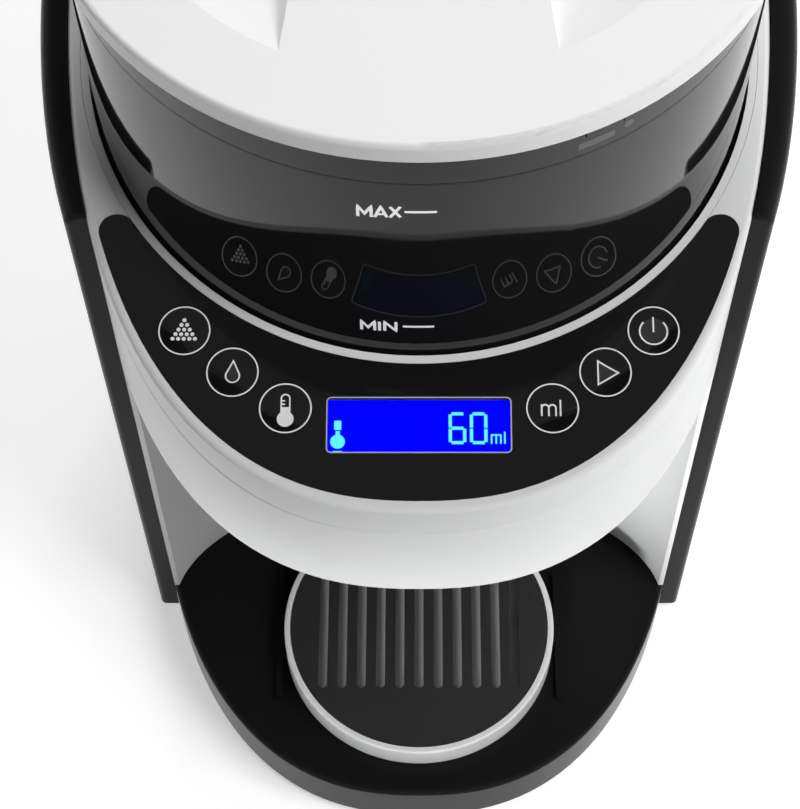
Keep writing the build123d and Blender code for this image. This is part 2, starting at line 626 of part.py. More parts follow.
# ================================================================ control panel
with BuildPart() as control_panel:
    with BuildSketch(Plane.XY.offset(HEAD_BOTTOM_Z)):
        draw_panel()
    extrude(amount=LID_TOP_Z - HEAD_BOTTOM_Z)
    split(bisect_by=top_plane(), keep=Keep.BOTTOM)
    split(bisect_by=top_plane(PANEL_THICKNESS), keep=Keep.TOP)
    with BuildSketch(top_plane(PANEL_THICKNESS)):
        with Locations(*BUTTON_PLACES.values()):
            Circle(BUTTON_HOLE)
        with Locations((0, DISPLAY_Y)):
            RectangleRounded(DISPLAY_WIDTH + 2 * LCD_BORDER, DISPLAY_HEIGHT + 2 * LCD_BORDER, 1.2)
    extrude(amount=PANEL_THICKNESS, mode=Mode.SUBTRACT)

with BuildPart() as display_window:
    with BuildSketch(top_plane(PANEL_THICKNESS)):
        with Locations((0, DISPLAY_Y)):
            RectangleRounded(DISPLAY_WIDTH, DISPLAY_HEIGHT, 1.2)
    extrude(amount=PANEL_THICKNESS)

with BuildPart() as lcd_module:
    with BuildSketch(top_plane(BOARD_DEPTH)):
        with Locations((0, DISPLAY_Y)):
            Rectangle(DISPLAY_WIDTH - 1, DISPLAY_HEIGHT - 1)
    extrude(amount=BOARD_DEPTH - PANEL_THICKNESS)

with BuildPart() as control_board:
    with BuildSketch(Plane.XY.offset(HEAD_BOTTOM_Z)):
        draw_oval(PANEL_HALF_WIDTH - 4, PANEL_HALF_LENGTH - 4)
        keep_between(-500, PANEL_TIP_Y - 6)
        Circle(SEAT_OUTER + 1.5, mode=Mode.SUBTRACT)
    extrude(amount=LID_TOP_Z - HEAD_BOTTOM_Z)
    split(bisect_by=top_plane(BOARD_DEPTH), keep=Keep.BOTTOM)
    split(bisect_by=top_plane(BOARD_DEPTH + BOARD_THICKNESS), keep=Keep.TOP)

STEM_RADIUS = 1.8
STEM_LENGTH = BOARD_DEPTH - BUTTON_THICKNESS - BUTTON_FLANGE - SWITCH_HEIGHT + 0.6
SWITCH_BORE_DEPTH = 0.6 + BUTTON_TRAVEL + 0.4

with BuildPart() as tact_switches:
    with BuildSketch(top_plane(BOARD_DEPTH)):
        with Locations(*BUTTON_PLACES.values()):
            Rectangle(SWITCH_SIZE, SWITCH_SIZE)
    extrude(amount=SWITCH_HEIGHT)
    with BuildSketch(top_plane(BOARD_DEPTH - SWITCH_HEIGHT + SWITCH_BORE_DEPTH)):
        with Locations(*BUTTON_PLACES.values()):
            Circle(STEM_RADIUS + GAP)
    extrude(amount=SWITCH_BORE_DEPTH, mode=Mode.SUBTRACT)

# Each button is a dished cap with a flange under the panel and a stem into its switch
DISH_RADIUS = ((BUTTON_RADIUS - 0.5) ** 2 + BUTTON_DISH**2) / (2 * BUTTON_DISH)


def make_button(place, name):
    with BuildPart() as button:
        with BuildSketch(top_plane(BUTTON_THICKNESS)):
            with Locations(place):
                Circle(BUTTON_RADIUS)
        extrude(amount=BUTTON_THICKNESS)
        with BuildSketch(top_plane(BUTTON_THICKNESS + BUTTON_FLANGE)):
            with Locations(place):
                Circle(BUTTON_FLANGE_RADIUS)
        extrude(amount=BUTTON_FLANGE)
        with BuildSketch(top_plane(BUTTON_THICKNESS + BUTTON_FLANGE + STEM_LENGTH)):
            with Locations(place):
                Circle(STEM_RADIUS)
        extrude(amount=STEM_LENGTH)
        centre = top_plane().from_local_coords((place[0], place[1], DISH_RADIUS - BUTTON_DISH))
        with Locations(centre):
            Sphere(DISH_RADIUS, mode=Mode.SUBTRACT)
        rim = button.edges().filter_by(GeomType.CIRCLE).sort_by(Axis((0, 0, 0), top_plane().z_dir))[-1]
        chamfer(rim, 0.12)
    finish(button.part, name)
    return button.part


buttons = [make_button(place, name) for name, place in BUTTON_PLACES.items()]

# ================================================================ powder container
BASE_RIM_Z = CONTAINER_BASE_Z + 11.0
BASE_DECK_Z = CONTAINER_BASE_Z + 4.0
HUB_RADIUS = COUPLER_RADIUS + 3.0
FLOOR_THICKNESS = 2.4
WHEEL_Z = BASE_RIM_Z + FLOOR_THICKNESS + 0.4
WHEEL_RADIUS = CONTAINER_BORE - 1.5
POCKET_RADIUS = OUTLET_RADIUS - 1.5
SCRAPER_Z = WHEEL_Z + WHEEL_THICKNESS + 0.6
SCRAPER_THICKNESS = 1.6
STIRRER_Z = SCRAPER_Z + SCRAPER_THICKNESS + 0.6
MARK_ANGLE = 27.8
MARK_HEIGHT = 2.6
MARK_DEPTH = 0.5

with BuildPart() as container_base:
    with BuildSketch(Plane.XY.offset(CONTAINER_BASE_Z)):
        Circle(CONTAINER_RADIUS - GAP)
    extrude(amount=BASE_RIM_Z - CONTAINER_BASE_Z)
    with BuildSketch(Plane.XY.offset(CONTAINER_BASE_Z)):
        Circle(CONTAINER_RADIUS - GAP - WALL)
        Circle(HUB_RADIUS, mode=Mode.SUBTRACT)
        with Locations((0, OUTLET_Y)):
            Circle(OUTLET_RADIUS + CHUTE_WALL, mode=Mode.SUBTRACT)
    extrude(amount=BASE_DECK_Z - CONTAINER_BASE_Z, mode=Mode.SUBTRACT)
    with BuildSketch(Plane.XY.offset(BASE_DECK_Z + WALL)):
        Circle(CONTAINER_RADIUS - GAP - WALL)
        Circle(HUB_RADIUS, mode=Mode.SUBTRACT)
        with Locations((0, OUTLET_Y)):
            Circle(OUTLET_RADIUS + CHUTE_WALL, mode=Mode.SUBTRACT)
    extrude(amount=BASE_RIM_Z - BASE_DECK_Z - WALL, mode=Mode.SUBTRACT)
    with BuildSketch(Plane.XY.offset(CONTAINER_BASE_Z)):
        Circle(COUPLER_RADIUS + RUNNING)
        with Locations((0, OUTLET_Y)):
            Circle(OUTLET_RADIUS)
    extrude(amount=BASE_RIM_Z - CONTAINER_BASE_Z, mode=Mode.SUBTRACT)

with BuildPart() as powder_container:
    with BuildSketch(Plane.XY.offset(BASE_RIM_Z)):
        Circle(CONTAINER_RADIUS)
    extrude(amount=CONTAINER_TOP_Z - BASE_RIM_Z)
    chamfer(powder_container.edges().group_by(Axis.Z)[0], 0.6)
    with BuildSketch(Plane.XY.offset(BASE_RIM_Z + FLOOR_THICKNESS)):
        Circle(CONTAINER_BORE)
    extrude(amount=CONTAINER_TOP_Z - BASE_RIM_Z - FLOOR_THICKNESS, mode=Mode.SUBTRACT)
    with BuildSketch(Plane.XY.offset(BASE_RIM_Z)):
        Circle(COUPLER_RADIUS + RUNNING)
        with Locations((0, OUTLET_Y)):
            Circle(OUTLET_RADIUS)
    extrude(amount=FLOOR_THICKNESS, mode=Mode.SUBTRACT)
    # raised alignment bar and square under the lid
    with BuildSketch(Plane.XY.offset(LID_EDGE_Z - 3.0 - MARK_HEIGHT)):
        Circle(CONTAINER_RADIUS + MARK_DEPTH)
        Circle(CONTAINER_RADIUS - CONTAINER_WALL / 2, mode=Mode.SUBTRACT)
        with BuildSketch(mode=Mode.PRIVATE) as mark_cut:
            with Locations((0, -CONTAINER_RADIUS)):
                Rectangle(8.4, 12)
            with Locations((6.8, -CONTAINER_RADIUS)):
                Rectangle(2.4, 12)
        add(mark_cut.sketch.rotate(Axis.Z, MARK_ANGLE), mode=Mode.INTERSECT)
    extrude(amount=MARK_HEIGHT)

with BuildPart() as powder_wheel:
    with BuildSketch(Plane.XY.offset(WHEEL_Z)):
        Circle(WHEEL_RADIUS)
        Circle(COUPLER_RADIUS, mode=Mode.SUBTRACT)
        with PolarLocations(-OUTLET_Y, WHEEL_POCKETS, start_angle=-90 + 180 / WHEEL_POCKETS):
            Circle(POCKET_RADIUS, mode=Mode.SUBTRACT)
    extrude(amount=WHEEL_THICKNESS)

with BuildPart() as powder_scraper:
    with BuildSketch(Plane.XY.offset(SCRAPER_Z)):
        Circle(CONTAINER_BORE)
        with Locations((0, -CONTAINER_BORE / 2 - 18)):
            Rectangle(34, CONTAINER_BORE - 36, mode=Mode.INTERSECT)
    extrude(amount=SCRAPER_THICKNESS)

with BuildPart() as stirring_wheel:
    with BuildSketch(Plane.XY.offset(WHEEL_Z + WHEEL_THICKNESS)):
        Circle(COUPLER_RADIUS + 5)
        Circle(COUPLER_RADIUS, mode=Mode.SUBTRACT)
    extrude(amount=STIRRER_Z - WHEEL_Z - WHEEL_THICKNESS + STIRRER_HEIGHT)
    with BuildSketch(Plane.XY.offset(STIRRER_Z)):
        with PolarLocations((WHEEL_RADIUS + COUPLER_RADIUS) / 2, STIRRER_ARMS, start_angle=30):
            Rectangle(WHEEL_RADIUS - COUPLER_RADIUS - 4, 4)
        Circle(COUPLER_RADIUS + 1, mode=Mode.SUBTRACT)
    extrude(amount=4)
    with BuildSketch(Plane.XY.offset(STIRRER_Z)):
        with PolarLocations(WHEEL_RADIUS - 6, STIRRER_ARMS, start_angle=30):
            Circle(2.2)
        with PolarLocations(WHEEL_RADIUS / 2, STIRRER_ARMS, start_angle=30):
            Circle(2.2)
    extrude(amount=STIRRER_HEIGHT)

with BuildPart() as wheel_coupler:
    with BuildSketch(Plane.XY.offset(CONTAINER_BASE_Z + 0.3)):
        Circle(COUPLER_RADIUS)
    extrude(amount=STIRRER_Z + STIRRER_HEIGHT - CONTAINER_BASE_Z - 0.3)
    with BuildSketch(Plane.XY.offset(CONTAINER_BASE_Z + 0.3)):
        RegularPolygon(HEX_ACROSS / 2 + 0.4, 6, major_radius=False)
    extrude(amount=5.5, mode=Mode.SUBTRACT)
    chamfer(wheel_coupler.edges().group_by(Axis.Z)[-1], 1.5)

# ================================================================ lid with two finger scoops and a grip bar
LID_SHEET = 2.2
PLUG_OUTER = CONTAINER_BORE - 0.5
PLUG_WALL = 2.2
SCOOP_SPHERE = (SCOOP_RADIUS**2 + SCOOP_DEPTH**2) / (2 * SCOOP_DEPTH)
GRIP_END_Y = sqrt(SCOOP_RADIUS**2 - GRIP_END_HALF_WIDTH**2)


def draw_grip(inset=0.0):
    """Adds the waisted outline of the grip bar, smaller all round by this much."""
    end_x, end_y = GRIP_END_HALF_WIDTH - inset, GRIP_END_Y
    middle = GRIP_MIDDLE_HALF_WIDTH - inset
    past = SCOOP_RADIUS + 2
    with BuildLine() as waist:
        ThreePointArc((end_x, -end_y), (middle, 0), (end_x, end_y))
        Polyline((end_x, end_y), (end_x, past), (-end_x, past), (-end_x, end_y))
        ThreePointArc((-end_x, end_y), (-middle, 0), (-end_x, -end_y))
        Polyline((-end_x, -end_y), (-end_x, -past), (end_x, -past), (end_x, -end_y))
    make_face(waist.edges())


with BuildPart() as container_lid:
    with BuildSketch(Plane.XZ) as lid_profile:
        with BuildLine():
            Polyline(
                (0, LID_TOP_Z),
                (LID_RADIUS, LID_TOP_Z),
                (LID_RADIUS, LID_EDGE_Z),
                (PLUG_OUTER, LID_EDGE_Z),
                (PLUG_OUTER, LID_EDGE_Z - LID_PLUG_DEPTH),
                (PLUG_OUTER - PLUG_WALL, LID_EDGE_Z - LID_PLUG_DEPTH),
                (PLUG_OUTER - PLUG_WALL, LID_TOP_Z - LID_SHEET),
                (SCOOP_RADIUS, LID_TOP_Z - LID_SHEET),
            )
            ThreePointArc(
                (SCOOP_RADIUS, LID_TOP_Z - LID_SHEET),
                (SCOOP_RADIUS / 2, LID_TOP_Z - LID_SHEET + SCOOP_SPHERE - SCOOP_DEPTH
                 - sqrt(SCOOP_SPHERE**2 - SCOOP_RADIUS**2 / 4)),
                (0, LID_TOP_Z - LID_SHEET - SCOOP_DEPTH),
            )
            Line((0, LID_TOP_Z - LID_SHEET - SCOOP_DEPTH), (0, LID_TOP_Z))
        make_face()
    revolve(axis=Axis.Z)
    wall_face = container_lid.faces().filter_by(GeomType.CYLINDER).sort_by(SortBy.DISTANCE)[-1]
    fillet(wall_face.edges().filter_by(GeomType.CIRCLE).sort_by(Axis.Z)[-1], LID_EDGE_RADIUS)
    # the scoops: a shallow dish on both sides of the bar
    with BuildSketch(Plane.XY.offset(LID_TOP_Z - SCOOP_DEPTH), mode=Mode.PRIVATE) as scoop_plan:
        Circle(SCOOP_RADIUS + 1)
    scoop_disc = extrude(scoop_plan.sketch, amount=SCOOP_DEPTH + 1, mode=Mode.PRIVATE)
    with BuildSketch(Plane.XY.offset(LID_TOP_Z - SCOOP_DEPTH), mode=Mode.PRIVATE) as grip_plan:
        draw_grip()
    grip_block = extrude(grip_plan.sketch, amount=SCOOP_DEPTH + 1, mode=Mode.PRIVATE)
    dish = Pos(0, 0, LID_TOP_Z + SCOOP_SPHERE - SCOOP_DEPTH) * Sphere(SCOOP_SPHERE, mode=Mode.PRIVATE)
    add((scoop_disc & dish) - grip_block, mode=Mode.SUBTRACT)
    # the bar is hollow from below
    bar_plane = Plane.XY.offset(LID_TOP_Z - LID_SHEET - SCOOP_DEPTH - 1)
    with BuildSketch(bar_plane, mode=Mode.PRIVATE) as bar_plan:
        draw_grip(LID_SHEET)
    bar_room = extrude(bar_plan.sketch, amount=SCOOP_DEPTH + 1, mode=Mode.PRIVATE)
    inner_disc = Pos(0, 0, LID_TOP_Z - LID_SHEET - SCOOP_DEPTH / 2) * Cylinder(
        SCOOP_RADIUS - 6, SCOOP_DEPTH + 2, mode=Mode.PRIVATE
    )
    roof_cut = Pos(0, 0, LID_TOP_Z - LID_SHEET - SCOOP_DEPTH - 1 + SCOOP_DEPTH / 2 + 0.5) * Box(
        400, 400, SCOOP_DEPTH + 1, mode=Mode.PRIVATE
    )
    add(bar_room & inner_disc & roof_cut, mode=Mode.SUBTRACT)

with BuildPart() as lid_seal:
    with BuildSketch(Plane.XY.offset(CONTAINER_TOP_Z + GAP)):
        Circle(CONTAINER_RADIUS - 0.4)
        Circle(PLUG_OUTER + 0.05, mode=Mode.SUBTRACT)
    extrude(amount=LID_EDGE_Z - CONTAINER_TOP_Z - GAP)

# ================================================================ drive
ADDENDUM = 0.72 * GEAR_MODULE
DEDENDUM = 1.12 * GEAR_MODULE
GEAR_Z = HEAD_FLOOR_Z + 1.5
SHAFT_FLANGE = 1.2


def draw_gear(teeth, turn=0.0):
    """Adds a spur gear's outline: straight-sided teeth with backlash, turned by this many degrees."""
    pitch = GEAR_MODULE * teeth / 2
    root, tip = pitch - DEDENDUM, pitch + ADDENDUM
    step = 2 * pi / teeth
    points = []
    for tooth in range(teeth):
        middle = tooth * step + radians(turn)
        for radius, share in ((root, -0.30), (tip, -0.12), (tip, 0.12), (root, 0.30)):
            angle = middle + share * step
            points.append((radius * cos(angle), radius * sin(angle)))
    with BuildLine() as outline:
        Polyline(*points, close=True)
    make_face(outline.edges())


with BuildPart() as gear_shaft:
    with BuildSketch(Plane.XY.offset(HEAD_BOTTOM_Z)):
        Circle(SHAFT_RADIUS)
    extrude(amount=GEAR_Z + GEAR_WIDTH - HEAD_BOTTOM_Z)
    with BuildSketch(Plane.XY.offset(HEAD_FLOOR_Z)):
        Circle(SHAFT_RADIUS + 3)
    extrude(amount=SHAFT_FLANGE)

with BuildPart() as drive_gear:
    with BuildSketch(Plane.XY.offset(GEAR_Z)):
        draw_gear(GEAR_TEETH, 90.0)
    extrude(amount=GEAR_WIDTH)
    with BuildSketch(Plane.XY.offset(GEAR_Z + GEAR_WIDTH)):
        RegularPolygon(HEX_ACROSS / 2, 6, major_radius=False)
    extrude(amount=CONTAINER_BASE_Z + 0.3 + 3.8 - GEAR_Z - GEAR_WIDTH)
    with BuildSketch(Plane.XY.offset(GEAR_Z)):
        Circle(SHAFT_RADIUS + RUNNING)
    extrude(amount=GEAR_WIDTH + 0.6, mode=Mode.SUBTRACT)
    with BuildSketch(Plane.XY.offset(GEAR_Z + 5.0)):
        Circle(GEAR_RADIUS - 4)
        Circle(COUPLER_RADIUS, mode=Mode.SUBTRACT)
    extrude(amount=GEAR_WIDTH - 5.0, mode=Mode.SUBTRACT)

with BuildPart() as motor_pinion:
    with BuildSketch(Plane.XY.offset(GEAR_Z)):
        with Locations((0, MOTOR_Y)):
            Circle(PINION_RADIUS - DEDENDUM)
        with BuildSketch(mode=Mode.PRIVATE) as pinion_plan:
            draw_gear(PINION_TEETH, 270.0 + 180.0 / PINION_TEETH)
        add(pinion_plan.sketch.moved(Location((0, MOTOR_Y, 0))))
        with Locations((0, MOTOR_Y)):
            Circle(SHAFT_RADIUS, mode=Mode.SUBTRACT)
    extrude(amount=GEAR_WIDTH)
    with BuildSketch(Plane.XY.offset(HEAD_BOTTOM_Z - 4)):
        with Locations((0, MOTOR_Y)):
            Circle(SHAFT_RADIUS)
    extrude(amount=GEAR_Z + GEAR_WIDTH - HEAD_BOTTOM_Z + 4)

with BuildPart() as gear_motor:
    with BuildSketch(Plane.XY.offset(HEAD_BOTTOM_Z - MOTOR_LENGTH)):
        with Locations((0, MOTOR_Y)):
            Circle(MOTOR_RADIUS)
    extrude(amount=MOTOR_LENGTH)
    with BuildSketch(Plane.XY.offset(HEAD_BOTTOM_Z - MOTOR_LENGTH)):
        with Locations((0, MOTOR_Y)):
            Circle(MOTOR_RADIUS)
            Circle(MOTOR_RADIUS - 1.2, mode=Mode.SUBTRACT)
    extrude(amount=MOTOR_LENGTH - 20, mode=Mode.SUBTRACT)
    with BuildSketch(Plane.XY.offset(HEAD_BOTTOM_Z - 6)):
        with Locations((0, MOTOR_Y)):
            Circle(SHAFT_RADIUS + RUNNING)
            with PolarLocations(MOTOR_SCREW_CIRCLE, 4, start_angle=45):
                Circle(MOTOR_SCREW_RADIUS + FIT)
    extrude(amount=6, mode=Mode.SUBTRACT)

with BuildPart() as motor_screws:
    with BuildSketch(Plane.XY.offset(HEAD_FLOOR_Z)):
        with Locations((0, MOTOR_Y)):
            with PolarLocations(MOTOR_SCREW_CIRCLE, 4, start_angle=45):
                Circle(MOTOR_SCREW_HEAD)
    extrude(amount=1.2)
    with BuildSketch(Plane.XY.offset(HEAD_FLOOR_Z - 7)):
        with Locations((0, MOTOR_Y)):
            with PolarLocations(MOTOR_SCREW_CIRCLE, 4, start_angle=45):
                Circle(MOTOR_SCREW_RADIUS)
    extrude(amount=7)

with BuildPart() as head_screws:
    with BuildSketch(Plane.XY.offset(HEAD_BOTTOM_Z - SCREW_HEAD)):
        with Locations(*POST_PLACES):
            Circle(SCREW_HEAD_RADIUS)
    extrude(amount=SCREW_HEAD)
    with BuildSketch(Plane.XY.offset(HEAD_BOTTOM_Z)):
        with Locations(*POST_PLACES):
            Circle(SCREW_RADIUS)
    extrude(amount=10)

# ================================================================ mixing funnel in its rails
RAIL_WALL = 2.2
RAIL_LIP = 4.0
COVER_TOP_Z = HEAD_BOTTOM_Z - HEAD_CLEARANCE
FLANGE_TOP_Z = COVER_TOP_Z - FUNNEL_COVER
FLANGE_Z = FLANGE_TOP_Z - FLANGE_THICKNESS
RAIL_Z = FLANGE_Z - GAP - RAIL_WALL
RAIL_FRONT_Y = FUNNEL_Y - FUNNEL_RADIUS
RAIL_LENGTH = 62.0
FUNNEL_WALL = 1.8

with BuildPart() as funnel_rails:
    rail_y = RAIL_FRONT_Y + RAIL_LENGTH / 2
    for side in (-1, 1):
        with BuildSketch(Plane.XY.offset(RAIL_Z)):
            with Locations((side * (FUNNEL_HALF_WIDTH + GAP + RAIL_WALL / 2), rail_y)):
                Rectangle(RAIL_WALL, RAIL_LENGTH)
        extrude(amount=HEAD_BOTTOM_Z - RAIL_Z)
        with BuildSketch(Plane.XY.offset(RAIL_Z)):
            with Locations((side * (FUNNEL_HALF_WIDTH + GAP - RAIL_LIP / 2), rail_y)):
                Rectangle(RAIL_LIP, RAIL_LENGTH)
        extrude(amount=RAIL_WALL)

with BuildPart() as mixing_funnel:
    flange_front = FUNNEL_Y - FUNNEL_RADIUS - 4
    flange_rear = FUNNEL_Y + FUNNEL_RADIUS - 1
    with BuildSketch(Plane.XY.offset(FLANGE_Z)):
        with Locations((0, (flange_front + flange_rear) / 2)):
            RectangleRounded(2 * FUNNEL_HALF_WIDTH, flange_rear - flange_front, 6)
        with Locations((0, FUNNEL_Y)):
            Circle(FUNNEL_RADIUS + FUNNEL_WALL)
    extrude(amount=FLANGE_THICKNESS)
    with BuildSketch(Plane.XY.offset(FLANGE_Z)):
        with Locations((0, flange_front - FUNNEL_TAB / 2 + 4)):
            RectangleRounded(30, FUNNEL_TAB + 8, 6)
    extrude(amount=FLANGE_THICKNESS)
    with BuildSketch(Plane.YZ) as cone_profile:
        with BuildLine():
            Polyline(
                (FUNNEL_Y, FLANGE_TOP_Z),
                (FUNNEL_Y + FUNNEL_RADIUS, FLANGE_TOP_Z),
                (FUNNEL_Y + FUNNEL_RADIUS, FLANGE_Z - 3),
                (FUNNEL_Y + SPOUT_RADIUS, FLANGE_Z - FUNNEL_DEPTH),
                (FUNNEL_Y + SPOUT_RADIUS, FLANGE_Z - FUNNEL_DEPTH - SPOUT_LENGTH),
                (FUNNEL_Y, FLANGE_Z - FUNNEL_DEPTH - SPOUT_LENGTH),
                close=True,
            )
        make_face()
    revolve(axis=Axis((0, FUNNEL_Y, 0), (0, 0, 1)))
    with BuildSketch(Plane.YZ) as bowl_profile:
        with BuildLine():
            Polyline(
                (FUNNEL_Y, FLANGE_TOP_Z),
                (FUNNEL_Y + FUNNEL_RADIUS - FUNNEL_WALL, FLANGE_TOP_Z),
                (FUNNEL_Y + FUNNEL_RADIUS - FUNNEL_WALL, FLANGE_Z - 3 + 0.8),
                (FUNNEL_Y + SPOUT_RADIUS - FUNNEL_WALL, FLANGE_Z - FUNNEL_DEPTH + 0.8),
                (FUNNEL_Y + SPOUT_RADIUS - FUNNEL_WALL, FLANGE_Z - FUNNEL_DEPTH - SPOUT_LENGTH),
                (FUNNEL_Y, FLANGE_Z - FUNNEL_DEPTH - SPOUT_LENGTH),
                close=True,
            )
        make_face()
    revolve(axis=Axis((0, FUNNEL_Y, 0), (0, 0, 1)), mode=Mode.SUBTRACT)

with BuildPart() as funnel_cover:
    with BuildSketch(Plane.XY.offset(FLANGE_TOP_Z)):
        with Locations((0, FUNNEL_Y)):
            Circle(FUNNEL_RADIUS)
            Circle(CHUTE_BORE, mode=Mode.SUBTRACT)
        with Locations((NOZZLE_X, NOZZLE_Y)):
            Circle(NOZZLE_RADIUS, mode=Mode.SUBTRACT)
    extrude(amount=FUNNEL_COVER)

# ================================================================ bottle stand and drip grid
STAND_WALL = 2.0
STAND_Z = BASE_TOP_Z + GAP

with BuildPart() as bottle_stand:
    with BuildSketch(Plane.XY.offset(STAND_Z)):
        with Locations((0, STAND_Y)):
            Circle(STAND_RADIUS)
    extrude(amount=STAND_HEIGHT)
    fillet(bottle_stand.edges().group_by(Axis.Z)[-1], 0.8)
    with BuildSketch(Plane.XY.offset(STAND_Z + STAND_HEIGHT - GRID_THICKNESS - GAP)):
        with Locations((0, STAND_Y)):
            Circle(STAND_RADIUS - STAND_WALL)
    extrude(amount=GRID_THICKNESS + GAP, mode=Mode.SUBTRACT)
    with BuildSketch(Plane.XY.offset(STAND_Z + STAND_WALL)):
        with Locations((0, STAND_Y)):
            Circle(STAND_RADIUS - STAND_WALL - 2)
    extrude(amount=STAND_HEIGHT, mode=Mode.SUBTRACT)

with BuildPart() as drip_grid:
    grid_radius = STAND_RADIUS - STAND_WALL - GAP
    with BuildSketch(Plane.XY.offset(STAND_Z + STAND_HEIGHT - GRID_THICKNESS)):
        with Locations((0, STAND_Y)):
            Circle(grid_radius)
            with GridLocations(SLOT_PITCH, 1, 11, 1):
                SlotOverall(46, SLOT_WIDTH, rotation=90, mode=Mode.SUBTRACT)
    extrude(amount=GRID_THICKNESS)

# ================================================================ water tank, lid and valve
TANK_FRONT_Y = SHELL_REAR_Y + 0.5
TANK_Z = PLATFORM_Z + GAP
TANK_FLOOR = 2.6
HINGE_DEPTH = KNUCKLE_RADIUS + 0.2
BRIDGE_FRONT = HINGE_Y - KNUCKLE_RADIUS + 0.2
LID_REAR = HINGE_Y - 4.0
PIN_RADIUS = 1.2
KNUCKLE_SLOT = KNUCKLE_RADIUS + 0.6
BRIDGE_DEPTH = HINGE_DEPTH + KNUCKLE_SLOT + TANK_WALL
VALVE_HOLE = 6.0
VALVE_STEM = 2.0
VALVE_HEAD = 7.5
VALVE_CLOSED_Z = TANK_Z + TANK_FLOOR
SEAL_THICKNESS = 1.4
HEAD_THICKNESS = 2.0
SPRING_RADIUS = 5.0
SPRING_WIRE = 0.5
SPRING_LENGTH = 12.0
SPRING_TURNS = 5
CAGE_RADIUS = 10.0
CAGE_PLATE = 2.0
CAGE_LEGS = 3


def hinge_centre(x=0.0):
    """A point of the tank lid's hinge axis."""
    local_y = HINGE_Y / cos(SLOPE)
    return top_plane().from_local_coords((x, local_y, -HINGE_DEPTH))


HINGE_PLANE = Plane(origin=hinge_centre(), x_dir=(0, cos(SLOPE), sin(SLOPE)), z_dir=(1, 0, 0))

with BuildPart() as water_tank:
    with BuildSketch(Plane.XY.offset(TANK_Z)):
        draw_oval(BODY_HALF_WIDTH)
        keep_between(TANK_FRONT_Y, 500)
    extrude(amount=LID_TOP_Z - TANK_Z)
    split(bisect_by=top_plane(), keep=Keep.BOTTOM)
    fillet(water_tank.edges().filter_by(Axis.Z), TANK_EDGE)
    with BuildSketch(Plane.XY.offset(TANK_Z + TANK_FLOOR), mode=Mode.PRIVATE) as tank_plan:
        draw_oval(BODY_HALF_WIDTH - TANK_WALL, OVAL_HALF_LENGTH - TANK_WALL)
        keep_between(TANK_FRONT_Y + TANK_WALL, 500)
    tank_room = extrude(tank_plan.sketch, amount=LID_TOP_Z, mode=Mode.PRIVATE)
    under_bridge = tank_room.split(top_plane(BRIDGE_DEPTH), keep=Keep.BOTTOM)
    add(under_bridge, mode=Mode.SUBTRACT)
    # open top in front of the hinge bridge
    with BuildSketch(Plane.XY.offset(TANK_Z + TANK_FLOOR), mode=Mode.PRIVATE) as mouth_plan:
        draw_oval(BODY_HALF_WIDTH - TANK_WALL, OVAL_HALF_LENGTH - TANK_WALL)
        keep_between(TANK_FRONT_Y + TANK_WALL, HINGE_Y - 12)
    add(extrude(mouth_plan.sketch, amount=LID_TOP_Z, mode=Mode.PRIVATE), mode=Mode.SUBTRACT)
    # step that the lid lies on
    with BuildSketch(Plane.XY.offset(TANK_Z), mode=Mode.PRIVATE) as step_plan:
        draw_oval(BODY_HALF_WIDTH + 5, OVAL_HALF_LENGTH + 5)
        keep_between(TANK_FRONT_Y - 5, BRIDGE_FRONT)
    step_room = extrude(step_plan.sketch, amount=LID_TOP_Z, mode=Mode.PRIVATE)
    add(step_room.split(top_plane(TANK_LID), keep=Keep.TOP), mode=Mode.SUBTRACT)
    # slot for the lid's knuckle, and the pin's bore
    with BuildSketch(HINGE_PLANE):
        with Locations((0, (HINGE_DEPTH + 2 - KNUCKLE_SLOT) / 2)):
            Rectangle(2 * KNUCKLE_SLOT, HINGE_DEPTH + 2 + KNUCKLE_SLOT)
    extrude(amount=KNUCKLE_LENGTH / 2 + 0.4, both=True, mode=Mode.SUBTRACT)
    with BuildSketch(HINGE_PLANE):
        Circle(PIN_RADIUS + 0.05)
    extrude(amount=KNUCKLE_LENGTH / 2 + 8, both=True, mode=Mode.SUBTRACT)
    # outlet spigot
    with BuildSketch(Plane.XY.offset(TANK_Z - TANK_OUTLET_LENGTH)):
        with Locations((0, TANK_OUTLET_Y)):
            Circle(TANK_OUTLET_RADIUS)
            Circle(TANK_OUTLET_RADIUS - WALL, mode=Mode.SUBTRACT)
    extrude(amount=TANK_OUTLET_LENGTH)
    with BuildSketch(Plane.XY.offset(TANK_Z)):
        with Locations((0, TANK_OUTLET_Y)):
            Circle(VALVE_HOLE)
    extrude(amount=TANK_FLOOR, mode=Mode.SUBTRACT)

with BuildPart() as tank_hinge_pin:
    with BuildSketch(HINGE_PLANE):
        Circle(PIN_RADIUS)
    extrude(amount=KNUCKLE_LENGTH / 2 + 7, both=True)

